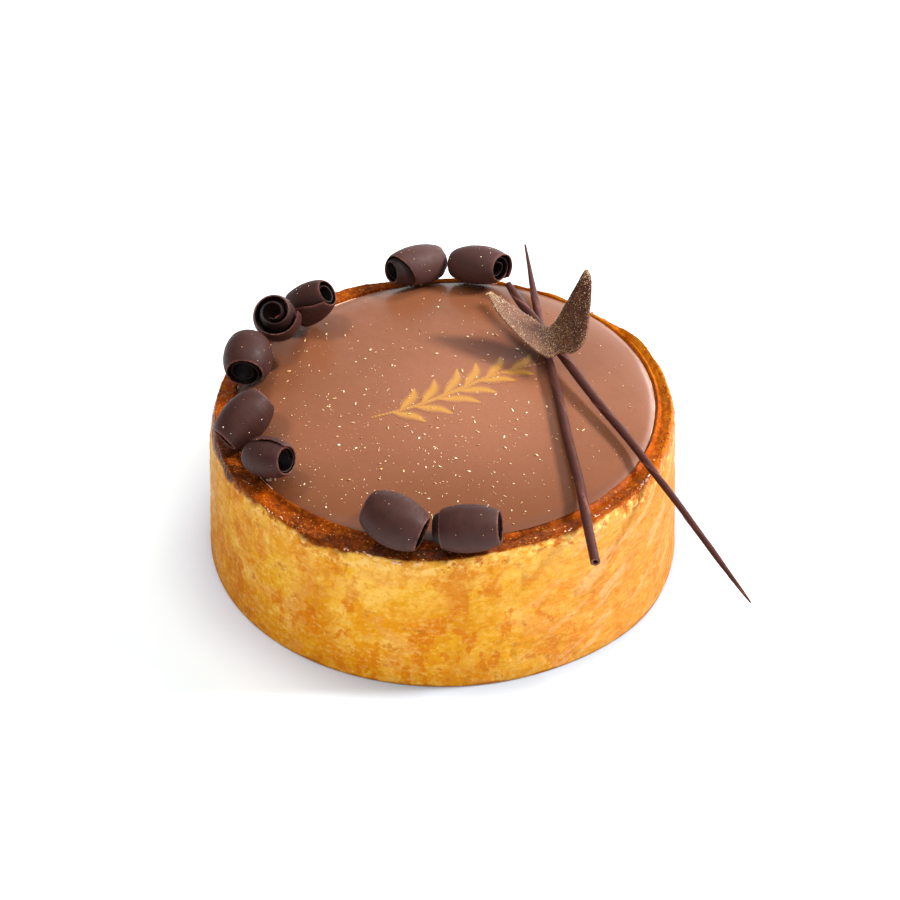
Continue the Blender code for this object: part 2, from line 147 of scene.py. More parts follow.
CURLS = {
    "curl_back_left": dict(
        at=(-6.1, 49.0, 39.7), heading=34, tilt=-9, length=14.0, radius=5.0, turns=1.9, drop=2.0,
        seam=125, way=-1, barrel=0.58, lo=(-0.4, -0.85, -1, -1, -1, -0.9), hi=(0.8, 1, 1, 0.9)),
    "curl_back_right": dict(
        at=(8.2, 47.65, 40.52), heading=-27, tilt=14, length=12.9, radius=5.1, turns=1.9, drop=2.6,
        seam=-160, way=1, barrel=0.55, lo=(-1, -1, -1, -0.9), hi=(1, 1, 0.85, 0.85), slant=(0.12, -90)),
    "curl_left_1": dict(
        at=(-31.0, 31.2, 41.9), heading=-15, tilt=40, length=13.0, radius=5.3, turns=2.3, drop=3.9,
        seam=65, skew=30, way=1, barrel=0.60, lo=(-0.3, -0.5, -0.5, -0.5), hi=(1, 1, 0.95, 0.75)),
    "curl_left_2": dict(
        at=(-37.4, 22.0, 44.9), heading=-103, tilt=52, length=9.5, radius=5.7, turns=2.1, drop=3.2,
        seam=-75, way=-1, barrel=0.50, lo=(-1, -1, -1, -0.9), hi=(0.5, 0.7, 1, 0.95), foot=(0.35, 90)),
    "curl_left_3": dict(
        at=(-43.7, 9.9, 42.5), heading=-95, tilt=-8, length=9.8, radius=6.0, turns=1.5, drop=2.0,
        seam=-175, way=1, barrel=0.42, lo=(-1, -1, -1, -0.9), hi=(1, 1, 1, 1)),
    "curl_left_4": dict(
        at=(-43.5, -11.2, 41.9), heading=40, tilt=28, length=12.8, radius=5.4, turns=1.5, drop=1.3,
        seam=-150, way=-1, barrel=0.66, lo=(-1, -1, -1, -1), hi=(1, 1, 1, 1)),
    "curl_left_5": dict(
        at=(-37.7, -24.1, 41.1), heading=-35, tilt=17, length=10.4, radius=4.7, turns=1.8, drop=1.5,
        seam=-8, skew=-8, way=-1, barrel=0.50, lo=(-0.65, -1, -1, -1), hi=(1, 1, 0.95, 0.9)),
    "curl_front_left": dict(
        at=(-9.9, -46.05, 41.65), heading=-30, tilt=-9, length=13.4, radius=6.1, turns=1.4, drop=1.2,
        seam=-140, way=-1, barrel=0.58, lo=(-1, -1, -1, -1), hi=(1, 1, 1, 1), slant=(0.1, 60)),
    "curl_front_right": dict(
        at=(5.4, -47.2, 40.45), heading=-7, tilt=8, length=14.2, radius=5.4, turns=1.9, drop=1.2,
        seam=-165, way=-1, barrel=0.56, lo=(-0.78, -0.78, -1, -1), hi=(1, 1, 1, 0.95)),
}

# Sticks. Radii and sideways bends are given at shares of the length, from the thin end.
STICKS = {
    "stick_lower": dict(
        thin=(19.15, 59.5, 38.3), thick=(32.4, -55.9, 38.3), radii=((0, 0.22), (0.03, 0.36), (0.08, 0.50),
        (0.13, 0.70), (0.18, 0.88), (0.36, 0.98), (0.6, 1.1), (1, 1.07)), bends=((0, 0), (0.1, -0.25),
        (0.155, -0.5), (0.21, -0.6), (0.27, -0.6), (0.36, -0.5), (0.5, -0.1), (0.63, -0.05), (0.77, 0.35),
        (0.86, 0.1), (1, 0))),
    "stick_upper": dict(
        thin=(64.9, -64.9, 34.6), thick=(15.0, 38.4, 42.0), radii=((0, 0.2), (0.03, 0.4), (0.07, 0.5),
        (0.13, 0.7), (0.2, 0.71), (0.32, 0.79), (0.45, 0.9), (0.7, 1.05), (0.95, 0.98), (1, 0.8)),
        bends=((0, 0), (0.12, 0.07), (0.2, 0.34), (0.28, 0.49), (0.48, 0.55), (0.55, 0.25), (0.64, -0.25),
        (0.78, 0), (0.87, -0.1), (0.93, -0.55), (0.97, -0.3), (1, 0))),
}
STICK_WINDS = {"stick_lower": (3.3, 200), "stick_upper": (5.5, 60)}    # turns and start of the seam
STICK_SIDES = 40
STICK_RINGS = 260
STICK_BORE = (0.5, 3.0)   # share of the end's radius, and depth
STICK_TIP = 0.05          # radius of the pointed end
STICK_STEP = 0.12         # the rolled sheet's outer edge, as a share of the radius

# Leaf
LEAF_T = 0.8
# Its outer and its inner edge, both from the left tip to the right one
LEAF_LOWER = ((10.4, 26.4, 48.2), (12.2, 22.6, 46.2), (17.6, 16.3, 43.2), (23.3, 10.9, 42.0),
              (26.2, 11.6, 42.7), (29.3, 9.3, 44.6), (31.9, 10.8, 47.6), (32.9, 16.9, 51.2),
              (33.3, 21.6, 55.2), (32.5, 22.9, 57.3))
LEAF_INNER = ((10.8, 26.8, 48.2), (13.6, 26.7, 46.2), (18.6, 24.9, 43.6), (23.3, 21.2, 42.6),
              (24.9, 21.3, 43.3), (26.3, 22.1, 45.1), (27.6, 22.2, 48.0), (29.0, 22.1, 51.4),
              (30.6, 22.2, 55.4), (31.7, 22.9, 57.3))
LEAF_PER_SPAN = 12
LEAF_ACROSS = 26

# Jelly and crumbs on the rim
BEAD = ((6, 22, 0.12), (129, 13, 0.14), (-150, 8, 0.10))    # where the bead is thickest, and its radius
BEAD_LEAST = 0.05
BEAD_SIDES = 8
DROP_SIDES = 12
DROPS = 4                 # at each curl
# Angle, radius and length of each
RIM_GLINTS = ((-110, 50.5, 1.1), (-107, 50.9, 1.5), (-104, 51.3, 1.0), (-101, 51.4, 0.8), (-114, 50.6, 0.6),
              (-96, 51.3, 0.6), (-29, 50.8, 1.3), (-31.5, 50.5, 0.8), (-43, 49.6, 0.5), (-48, 50.4, 0.6),
              (-58, 50.8, 0.6), (-133, 50.6, 0.7), (-137, 50.9, 0.5), (163, 44.6, 0.7))
CRUMBS = 1500
CRUMB_SIZE = (0.095, 0.5, 0, 0.34)
LARGE_CRUMBS = 9          # heaped in one place at the back left
LARGE_CRUMB_PLACE = ((137.8, 140), (49.8, 50.5))    # angles and radii
LARGE_CRUMB_SIZE = (1.0, 1.3)

# Floor and lights, in metres
FLOOR_SIZE = 6
FLOOR_GLOW = 0.09
FLOOR_SHADOW_LEFT = (0.74, 0.81, 0.92)
FLOOR_SHADOW_RIGHT = (0.36, 0.41, 0.48)
FLOOR_FAR = (0.91, 0.98, 1.0)
FLOOR_SIDES = (-0.05, 0.005)    # where left turns to right
FLOOR_FADE = (0.05, 0.071)      # how far out the painted shadow near the foot turns to the far colour
WORLD_LIGHT = 0.47
LIGHT_AIM = (0, 0, 0.02)
LIGHTS = (("key", (1.077, 0.132, 0.93), 0.32, 32), ("rear", (0.9, 1.5, 0.45), 0.6, 4.5),
          ("overhead", (0, 0, 1.6), 1.4, 12), ("fill", (0.1, -1.5, 0.5), 0.8, 6),
          ("backdrop", (0.5, 1.7, 0.45), 1.6, 11))    # place, width and power

# Camera fitted to the photo's rim and base circles
CAMERA_TILT = 38.402      # degrees above the horizon
CAMERA_TARGET = (1.681, 0, 24.170)
CAMERA_DISTANCE = 920
CAMERA_LENS = 164.387


# Colours

def srgb(red, green, blue):
    """A colour named by its 8-bit screen values, as linear light."""
    return tuple(c / 3294.6 if c < 10.3 else ((c / 255 + 0.055) / 1.055) ** 2.4 for c in (red, green, blue))


# Noise and tables

def cell_value(i, j, k, seed):
    """A fixed value from 0 to 1 for each cell of a grid."""
    n = (i * 73856093) ^ (j * 19349663) ^ (k * 83492791) ^ (seed * 97531)
    n = ((n ^ (n >> 15)) & 0xFFFFFFFF) * 739982445 & 0xFFFFFFFF
    n = (n ^ (n >> 12)) * 695872825 & 0xFFFFFFFF
    return (n ^ (n >> 15)) / 0xFFFFFFFF


def lumps(points, size, seed):
    """Smooth noise from -1 to 1 with lumps about size across."""
    q = points / size
    base = np.floor(q).astype(np.int64)
    f = q - base
    f = f * f * (3 - 2 * f)
    total = 0
    for corner in itertools.product((0, 1), repeat=3):
        weight = np.prod(np.where(corner, f, 1 - f), axis=-1)
        total = total + weight * cell_value(*(base[..., c] + corner[c] for c in range(3)), seed)
    return 2 * total - 1


def rough(points, size, octaves, seed):
    """Sum of ever finer and weaker lumps, from about -1 to 1."""
    total = sum(lumps(points + 13.7 * k, size / 2 ** k, seed + k) / 2 ** k for k in range(octaves))
    return total / (2 - 2 / 2 ** octaves)


def ease(low, high, x):
    """0 below low, 1 above high and smooth between."""
    t = np.clip((x - low) / (high - low), 0, 1)
    return t * t * (3 - 2 * t)


def circle(count):
    """Evenly spaced angles all round."""
    return 2 * pi * np.arange(count) / count


def waves(mean, terms, angle):
    return mean + sum(size * np.cos(count * angle - radians(at)) for count, size, at in terms)


def bulge(angle, at, width, size):
    """A smooth swelling round one angle."""
    off = (angle - radians(at) + pi) % (2 * pi) - pi
    return size * np.exp(-(off / radians(width)) ** 2)


def bulges(angle, places):
    return sum(bulge(angle, *place) for place in places)


def rim_z(angle):
    return waves(RIM_Z, RIM_WAVES, angle) + bulges(angle, RIM_BUMPS)


def glaze_r(angle):
    return waves(GLAZE_R, GLAZE_WAVES, angle)


def glaze_edge(angle):
    return glaze_r(angle) + bulges(angle, GLAZE_LAP)


def glaze_z(r, angle):
    """Height of the glaze: a low dome with a soft shoulder at its edge."""
    share = r / glaze_edge(angle)
    drop, power = GLAZE_SHOULDER
    return GLAZE_TOP - GLAZE_FALL * share ** 2 - (drop - bulge(angle, *GLAZE_THICK)) * share ** power


def ripple(points):
    """Slight unevenness of the glaze's surface."""
    flat = points * (1, 1, 0)
    return 0.05 * rough(flat, 11, 2, 91) + 0.02 * rough(flat, 2.4, 2, 95)


def turned_round(x, y, at, heading):
    """Places measured along and across a heading in degrees, from a point."""
    u, v, heading = x - at[0], y - at[1], radians(heading)
    return u * cos(heading) + v * sin(heading), v * cos(heading) - u * sin(heading)


def curl_painted_shade(x, y):
    """Painted shade round the curls: 1 at a curl's side, 0 a few millimetres away, and up to 2 between two
    curls.
    """
    total = np.zeros(np.shape(x))
    for curl in CURLS.values():
        half = curl["length"] / 2 * cos(radians(curl["tilt"]))
        along, across = turned_round(x, y, curl["at"], curl["heading"])
        away = np.hypot(np.maximum(np.abs(along) - half, 0), across) - 0.75 * curl["radius"]
        total += ease(CURL_SHADE_REACH, 0, away)
    return np.minimum(total, 2)


def glaze_values(x, y):
    """Where the glaze has painted light and shade: a paler middle as a painted pool of light, painted shade
    in front and beside curls, the leaf's painted shadow below it, a less glossy front edge with painted
    shade, and a painted sheen along its border.
    """
    angle = np.arctan2(y, x)
    inset = glaze_edge(angle) - np.hypot(x, y)
    at_x, at_y, size = LIT_SPOT
    pale = np.exp(-((x - at_x) ** 2 + (y - at_y) ** 2) / size ** 2)
    # The leaf's painted shadow on the glaze
    *at, long, wide, lean = LEAF_SHADE
    along, across = turned_round(x, y, at, lean)
    shade = np.exp(-(along / long) ** 2 - (across / wide) ** 2)
    return dict(pale=pale, front=ease(-14, -42, y), shade=shade, beside=curl_painted_shade(x, y),
                matt_and_shade=ease(4, 1.5, inset) * bulge(angle, *GLAZE_MATT_AND_SHADE),
                painted_sheen=ease(1.6, 0.2, inset) * bulges(angle, SHEEN_BORDERS))


def on_glaze(x, y):
    return float(glaze_z(hypot(x, y), atan2(y, x)) + ripple(np.array((x, y, 0.0))))


# Mesh building

def grid(rows, cols, round_rows=False, round_cols=False):
    """Quads over rows x cols points, joined end to end where a direction is round."""
    i, j = np.indices((rows if round_rows else rows - 1, cols if round_cols else cols - 1)).reshape(2, -1)
    k, m = (i + 1) % rows, (j + 1) % cols
    return np.stack([i * cols + j, k * cols + j, k * cols + m, i * cols + m], 1).tolist()


def drum(rows, cols):
    """A tube's quads and one flat face at each end."""
    quads, last = grid(rows, cols, round_cols=True), (rows - 1) * cols
    return quads + [list(range(cols))[::-1], list(range(last, last + cols))]


def capped_tube(rows, cols):
    """A tube's quads, and fans at its ends round the two points that follow its own."""
    faces = grid(rows, cols, round_cols=True)
    last, low = (rows - 1) * cols, rows * cols
    for j in range(cols):
        k = (j + 1) % cols
        faces += [[j, k, low], [last + j, last + k, low + 1]]
    return faces


def closed_sheet(points, faces, depth):
    """A sheet of quads made a closed slab, with its underside straight below."""
    edges = np.concatenate([faces[:, [k, (k + 1) % 4]] for k in range(4)])
    _, first, uses = np.unique(np.sort(edges, 1), axis=0, return_index=True, return_counts=True)
    border, below = edges[first[uses == 1]], len(points)
    walls = np.concatenate([border[:, ::-1], border + below], 1)
    return (np.concatenate([points, points - (0, 0, depth)]),
            np.concatenate([faces, faces[:, ::-1] + below, walls]).tolist())


def smooth_rows(knots, steps):
    """Rows on a smooth curve through rows of knots, with a number of steps for each span."""
    ends = np.concatenate([2 * knots[:1] - knots[1:2], knots, 2 * knots[-1:] - knots[-2:-1]])
    rows = []
    for k, count in enumerate(steps):
        a, b, c, d = ends[k:k + 4]
        for t in np.arange(count) / count:
            rows.append(0.5 * (2 * b + (c - a) * t + (2 * a - 5 * b + 4 * c - d) * t * t
                               + (3 * b - a - 3 * c + d) * t ** 3))
    return np.array(rows + [knots[-1]])


def unit(vectors):
    return vectors / np.maximum(np.linalg.norm(vectors, axis=-1, keepdims=True), 1e-9)


def normals(surface):
    """Outward directions of a surface given as rows of points."""
    return unit(np.cross(np.gradient(surface, axis=0), np.gradient(surface, axis=1)))


def kept(faces, keep, *tables):
    """The quads to keep, and rows of the tables for the points that they use."""
    used, faces = np.unique(faces[keep], return_inverse=True)
    return faces.reshape(-1, 4), *(table[used] for table in tables)


def piece(name, points, faces, finish, slot, replaced=(), sharp=None, fill=False, **values):
    """One mesh piece from points in millimetres on the part's only body; fill closes its open ends.

    Values are numbers that the mesh keeps for its finish, one for each point or fewer, which are spread.
    """
    mesh, points = bpy.data.meshes.new(name), np.asarray(points, float)
    mesh.from_pydata((points.reshape(-1, 3) * MM).tolist(), [], faces)
    for key, numbers in values.items():
        layer = mesh.attributes.new(key, "FLOAT", "POINT")
        numbers = np.broadcast_to(numbers, points.shape[:-1]).astype(np.float32)
        layer.data.foreach_set("value", numbers.ravel())
    work = bmesh.new()
    work.from_mesh(mesh)
    if fill:
        bmesh.ops.holes_fill(work, edges=[edge for edge in work.edges if edge.is_boundary])
    bmesh.ops.recalc_face_normals(work, faces=work.faces)
    work.to_mesh(mesh)
    work.free()
    mesh.materials.append(finish)
    mesh.shade_smooth()
    if sharp:
        mesh.set_sharp_from_angle(angle=radians(sharp))
    item = bpy.data.objects.new(name, mesh)
    bpy.context.scene.collection.objects.link(item)
    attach(item, "root")
    if replaced:
        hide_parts(*replaced)
    return item


def sheet(middle, thick):
    """Both faces and the border of a sheet round its middle surface, with a row of points for each face."""
    n, m = middle.shape[:2]
    half = normals(middle) * thick[..., None] / 2
    front = grid(n, m)
    faces = front + [[v + n * m for v in reversed(f)] for f in front]
    at = np.arange(n * m).reshape(n, m)
    ring = np.concatenate([at[0], at[1:, -1], at[-1, -2::-1], at[-2:0:-1, 0]]).tolist()
    faces += [[b, a, a + n * m, b + n * m] for a, b in zip(ring, ring[1:] + ring[:1])]
    return np.stack([middle + half, middle - half]), faces


def polar(radius, angle, height):
    return np.stack([radius * np.cos(angle), radius * np.sin(angle), height], -1)


# Materials

class Shader:
    """A material's nodes, added one by one; sockets are linked or set by name."""

    def __init__(self, name, **settings):
        self.material = bpy.data.materials.new(name)
        self.material.use_nodes = True
        self.tree = self.material.node_tree
        self.surface = self.tree.nodes["Principled BSDF"]
        self.place = self.tree.nodes.new("ShaderNodeTexCoord").outputs["Object"]
        self.set(self.surface, **settings)

    def put(self, value, socket):
        """Link a socket, or set what it holds when nothing is linked to it."""
        if isinstance(value, bpy.types.NodeSocket):
            self.tree.links.new(value, socket)
        elif socket.type == "RGBA":
            socket.default_value = (*value, 1)
        else:
            socket.default_value = value

    def set(self, made, **settings):
        for key, value in settings.items():
            self.put(value, made.inputs[key.replace("_", " ")])

    def add(self, kind, **settings):
        made = self.tree.nodes.new(kind)
        self.set(made, **settings)
        return made

    def value(self, name):
        made = self.tree.nodes.new("ShaderNodeAttribute")
        made.attribute_name = name
        return made.outputs["Fac"]

    def spread(self, *names):
        """A place made of values in millimetres that the mesh keeps."""
        made = self.tree.nodes.new("ShaderNodeCombineXYZ")
        for socket, name in zip(made.inputs, names):
            self.put(self.times(self.value(name), MM), socket)
        return made.outputs[0]

    def leaning(self, degrees, *names):
        """A place made of two kept values, turned so that its first axis rises by an angle."""
        turn = (0, 0, -radians(degrees))
        return self.add("ShaderNodeMapping", Vector=self.spread(*names), Rotation=turn).outputs[0]

    def noise(self, size, detail=3.0, rough=0.5, stretch=(1, 1, 1), twist=0.0, place=None):
        """Noise with features about size millimetres across, finer along the axes where stretch is large."""
        moved = self.add("ShaderNodeMapping", Vector=place or self.place, Scale=stretch)
        made = self.add("ShaderNodeTexNoise", Vector=moved.outputs[0], Scale=1 / (size * MM), Detail=detail,
                        Roughness=rough, Distortion=twist)
        return made.outputs["Fac"]

    def math(self, what, a, b=0.0, c=0.0):
        made = self.tree.nodes.new("ShaderNodeMath")
        made.operation, made.use_clamp = what, False
        for socket, value in zip(made.inputs, (a, b, c)):
            self.put(value, socket)
        return made.outputs[0]

    def times(self, a, b):
        return self.math("MULTIPLY", a, b)

    def span(self, value, low, high, to_low=0.0, to_high=1.0):
        made = self.add("ShaderNodeMapRange", Value=value)
        made.interpolation_type = "SMOOTHSTEP"
        for key, number in zip(("From Min", "From Max", "To Min", "To Max"), (low, high, to_low, to_high)):
            made.inputs[key].default_value = number
        return made.outputs[0]

    def ramp(self, value, *stops):
        """A colour that follows a value through stops, each a place and a colour in 8-bit screen values."""
        made = self.add("ShaderNodeValToRGB", Fac=value)
        band = made.color_ramp
        while len(band.elements) < len(stops):
            band.elements.new(0.5)
        for element, (at, colour) in zip(band.elements, stops):
            element.position, element.color = at, (*srgb(*colour), 1)
        return made.outputs["Color"]

    def mix(self, share, a, b, blend="MIX"):
        made = self.tree.nodes.new("ShaderNodeMix")
        made.data_type, made.blend_type = "RGBA", blend
        for place, value in ((0, share), (6, a), (7, b)):
            self.put(value, made.inputs[place])
        return made.outputs[2]

    def bump(self, height, depth):
        """Relief of the given depth in millimetres."""
        made = self.add("ShaderNodeBump", Height=height, Distance=depth * MM, Strength=1.0)
        self.set(self.surface, Normal=made.outputs[0])


def caramel(s):
    """Colour of the baked rim: orange to dark brown by the burn value, golden by the gild value."""
    light = s.ramp(s.noise(1.7, 6, 0.68), (0.34, (150, 60, 2)), (0.46, (172, 74, 2)),
                   (0.58, (188, 90, 4)), (0.70, (208, 134, 24)))
    red = s.span(s.noise(4.5, 3, 0.6), 0.52, 0.64, 0, 0.4)
    light = s.mix(red, light, srgb(182, 64, 2))
    gild = s.times(s.value("gild"), s.span(s.noise(2.0, 5, 0.65), 0.36, 0.58, 0.25, 0.85))
    light = s.mix(gild, light, srgb(214, 132, 18))
    dark = s.ramp(s.noise(1.2, 5, 0.68), (0.36, (62, 22, 3)), (0.52, (92, 36, 4)),
                  (0.64, (132, 58, 8)), (0.72, (192, 118, 34)))
    baked = s.mix(s.value("burn"), light, dark)
    # fine pale specks: golden sugar on the rim, with painted glints among them
    return s.mix(s.span(s.noise(0.55, 3, 0.6), 0.60, 0.68, 0, 0.5), baked, srgb(224, 150, 60))


# Noises of the baked wall: size, detail, roughness, stretch and twist
WALL_NOISES = {
    "cloud": (17.0, 4, 0.6, (1, 1, 1.2)),
    "low": (5, 4, 0.6),
    "pale": (10.0, 6, 0.62, (1, 1, 1.1), 0.15),
    "tan": (12.0, 5, 0.62, (1, 1, 1.4), 0.15),
    "deep": (7.5, 6, 0.62, (1.4, 1.4, 0.9), 0.1),
    "spot": (5.0, 6, 0.66, (1, 1, 1.2)),
    "high": (6, 5, 0.62),
    "streak": (4.2, 5, 0.64, (1, 1, 6), 0.25),
    "rosy": (5.5, 4, 0.62, (1.2, 1.2, 5), 0.3),
    "speckle": (1.2, 4, 0.65, (1, 1, 1.3)),
    "patch": (9, 5, 0.62, (1.6, 1.6, 0.7)),
}
# Its colours, each over the one before: where on the wall, in which noise, from what to what, and the colour
WALL_COLOURS = (
    ("low", "low", (0.35, 0.6, 0.1, 0.7), (203, 122, 4)),
    (None, "pale", (0.50, 0.545, 0, 0.62), (222, 165, 56)),
    (None, "pale", (0.57, 0.62, 0, 0.55), (230, 182, 92)),
    (None, "tan", (0.54, 0.59, 0, 0.6), (210, 140, 60)),
    (None, "deep", (0.535, 0.575, 0, 0.9), (198, 110, 0)),
    (None, "spot", (0.59, 0.66, 0, 0.7), (176, 94, 12)),
    ("high", "high", (0.42, 0.58, 0.1, 0.7), (227, 174, 76)),
    ("side", "streak", (0.53, 0.61, 0, 0.7), (226, 176, 92)),
    ("side", "streak", (0.48, 0.41, 0, 0.8), (192, 108, 8)),
    ("side", "rosy", (0.54, 0.62, 0, 0.6), (216, 150, 100)),
    ("streaky", "rise", (0.53, 0.61, 0, 0.7), (232, 188, 136)),
    ("streaky", "rise", (0.46, 0.38, 0, 0.6), (206, 128, 14)),
    (None, "speckle", (0.50, 0.66, 0, 0.4), (230, 186, 100)),
    (None, "speckle", (0.46, 0.34, 0, 0.4), (188, 106, 8)),
    ("cream", "streak", (0.44, 0.58, 0.1, 0.8), (234, 200, 150)),
    ("baked", "patch", (0.42, 0.56, 0, 0.75), (184, 100, 8)),
)


def wall_colour(s, noises):
    """Golden wall, blotched at the front and streaked at the sides, with wear and cracks below the rim."""
    wall = s.ramp(noises["cloud"], (0.38, (206, 125, 2)), (0.5, (210, 141, 10)), (0.62, (215, 155, 24)))
    for where, noise, span, paint in WALL_COLOURS:
        share = s.span(noises[noise], *span)
        wall = s.mix(s.times(s.value(where), share) if where else share, wall, srgb(*paint))
    # painted shade against the strong light at the right front
    wall = s.mix(s.times(s.value("right"), 0.55), wall, srgb(184, 118, 58))
    # painted shade where the light falls strongest
    wall = s.mix(s.value("painted_shade"), wall, (0.69, 0.66, 0.6), "MULTIPLY")
    wall = s.mix(s.span(s.value("foot"), 0.3, 0.9, 0, 0.7), wall, srgb(160, 88, 14))
    brow = s.value("brow")
    wear_and_edge_light = s.times(s.span(brow, 0.2, 0.8), s.span(s.noise(1.8, 4, 0.65), 0.48, 0.58))
    wall = s.mix(s.times(wear_and_edge_light, 0.7), wall, srgb(230, 186, 106))
    crack = s.times(s.span(brow, 0.3, 0.9), s.span(s.noise(2.2, 5, 0.65), 0.46, 0.38))
    return s.mix(s.times(crack, 0.8), wall, srgb(166, 78, 6))


def pastry_finish():
    """The baked wall, turning to caramel at the rim."""
    s = Shader("baked_pastry", Specular_IOR_Level=0.04)
    noises = {name: s.noise(*numbers) for name, numbers in WALL_NOISES.items()}
    noises["rise"] = s.noise(4.2, 3, 0.6, (0.22, 1, 1), 0.12, s.leaning(STREAK_RISE, "around", "height"))
    grain = s.noise(0.8, 4, 0.65)
    toast = s.value("toast")
    gloss = s.span(toast, 0, 1, 0.6, 0.3)
    s.set(s.surface, Base_Color=s.mix(toast, wall_colour(s, noises), caramel(s)))
    s.set(s.surface, Roughness=s.math("MULTIPLY_ADD", grain, 0.16, s.math("SUBTRACT", gloss, 0.08)))
    layers = s.math("ADD", noises["streak"], noises["speckle"])
    s.bump(s.math("ADD", s.times(grain, 0.7), layers), 0.14)
    return s.material


def gel_finish():
    """Caramel jelly where the glaze meets the rim."""
    s = Shader("caramel_gel", Roughness=0.2, Specular_IOR_Level=0.12)
    s.set(s.surface, Base_Color=caramel(s))
    s.bump(s.noise(1.0, 3, 0.5), 0.2)
    return s.material


def glaze_finish(name="milk_chocolate_glaze", printed=False):
    """Soft, slightly uneven milk chocolate glaze; the print adds gold where its ink value is high."""
    s = Shader(name, Specular_IOR_Level=0.25)
    beside, matt_and_shade = s.value("beside"), s.value("matt_and_shade")
    cloud = s.noise(14, 3, 0.55)
    colour = s.ramp(cloud, (0.35, (120, 72, 46)), (0.65, (129, 78, 51)))
    # a painted pool of light in the middle, and painted shade at the front
    colour = s.mix(s.value("pale"), colour, srgb(149, 95, 68))
    colour = s.mix(s.value("front"), colour, srgb(112, 64, 36))
    # the leaf's painted shadow
    colour = s.mix(s.span(s.value("shade"), 0, 1, 0, 0.7), colour, srgb(94, 34, 8))
    # painted shade beside the curls, near black between two of them
    colour = s.mix(s.span(beside, 0, 1, 0, 0.42), colour, srgb(70, 36, 24))
    colour = s.mix(s.span(beside, 1.0, 1.7, 0, 0.9), colour, srgb(26, 10, 7))
    # painted shade along the less glossy front edge
    colour = s.mix(s.span(matt_and_shade, 0, 1, 0, 0.5), colour, srgb(92, 46, 24))
    # painted sheen along the border
    colour = s.mix(s.value("painted_sheen"), colour, srgb(206, 176, 166))
    fine = s.noise(0.7, 3, 0.6, (1, 2.5, 1))
    colour = s.mix(s.span(fine, 0.3, 0.8, 0, 0.4), colour, srgb(112, 66, 42))
    if printed:
        ink = s.math("ADD", s.value("ink"), s.math("MULTIPLY_ADD", s.noise(0.35, 3, 0.65), 0.9, -0.45))
        colour = s.mix(s.span(ink, 0.0, 0.95, 0, 0.88), colour, srgb(184, 132, 56))
    s.set(s.surface, Base_Color=colour, Roughness=s.span(matt_and_shade, 0, 1, 0.27, 0.62))
    s.bump(s.math("ADD", s.noise(3.0, 3, 0.5), s.times(fine, 0.08)), 0.05)
    return s.material


def chocolate_finish(name, colour=srgb(55, 27, 22), edge=srgb(112, 66, 54)):
    """Satin dark chocolate with scrape lines round the roll; its thin pale cut edges are a painted
    highlight, dimmed by painted shade deep in the roll, and its dark inside is painted shade.
    """
    s = Shader(name, Specular_IOR_Level=0.2)
    bloom = s.noise(2.4, 4, 0.55)
    base = s.mix(s.span(bloom, 0.35, 0.7, 0, 0.6), colour, tuple(c * 1.4 for c in colour))
    rolled = s.spread("along", "wrap")
    scrape = s.noise(0.5, 3, 0.6, (1, 0.05, 1), 0.3, rolled)
    base = s.mix(s.span(scrape, 0.55, 0.72, 0, 0.5), base, tuple(c * 1.9 for c in colour))
    # painted sheen on the curls at the back
    base = s.mix(s.value("pale"), base, srgb(84, 56, 52))
    # painted shade inside the roll
    base = s.mix(s.value("inner"), base, tuple(c * 0.14 for c in colour))
    # painted highlight on the cut edges, dimmed as painted shade on the deeper coils
    wear_and_edge_light = s.times(s.value("edge"), s.span(s.noise(0.8, 3, 0.6), 0.36, 0.6, 0.25, 1.0))
    wear_and_edge_light = s.times(wear_and_edge_light, s.span(s.value("deep"), 0, 1, 1, 0.08))
    s.set(s.surface, Base_Color=s.mix(wear_and_edge_light, base, edge))
    s.set(s.surface, Roughness=s.span(s.noise(1.2, 3, 0.6), 0.3, 0.7, 0.5, 0.64))
    s.bump(s.math("ADD", s.math("ADD", s.noise(0.5, 2, 0.5), scrape), s.times(bloom, 1.5)), 0.025)
    return s.material


def leaf_finish():
    """Brown chocolate with a fine pale gold sparkle, silvery on the left lobe and sparse on the right."""
    s = Shader("dusted_chocolate", Roughness=0.55, Specular_IOR_Level=0.2)
    grain = s.noise(0.22, 2, 0.6)
    patch = s.noise(1.6, 4, 0.6)
    dust = s.math("ADD", s.value("dust"), s.math("MULTIPLY_ADD", grain, 5.0, -3.1))
    dust = s.math("ADD", dust, s.math("MULTIPLY_ADD", patch, 1.2, -0.6))
    share = s.span(dust, 0.1, 0.9, 0, 0.36)
    base = s.mix(s.span(s.noise(2.2, 3, 0.5), 0.35, 0.7, 0, 0.8), srgb(62, 29, 18), srgb(88, 49, 31))
    base = s.mix(s.times(s.value("silver"), 0.4), base, srgb(128, 88, 68))
    gold = s.mix(s.value("silver"), srgb(190, 142, 98), srgb(196, 164, 138))
    s.set(s.surface, Base_Color=s.mix(share, base, gold))
    s.bump(s.math("ADD", grain, s.noise(0.8, 3, 0.5)), 0.03)
    return s.material


# Tones of small grains, from the darkest to the lightest
GOLD = ((0, (206, 150, 96)), (0.45, (238, 202, 146)), (1, (255, 240, 214)))
LEAF_DUST = ((0, (166, 120, 78)), (0.5, (226, 182, 124)), (1, (255, 240, 204)))
# the palest crumbs are sugar with painted glints
CRUMB = ((0, (90, 34, 8)), (0.45, (176, 80, 12)), (0.8, (226, 150, 60)), (1, (244, 214, 160)))


def toned_finish(name, stops, **settings):
    """A finish whose colour is taken from its stops by each grain's own tone."""
    s = Shader(name, **settings)
    s.set(s.surface, Base_Color=s.ramp(s.value("tone"), *stops))
    return s.material


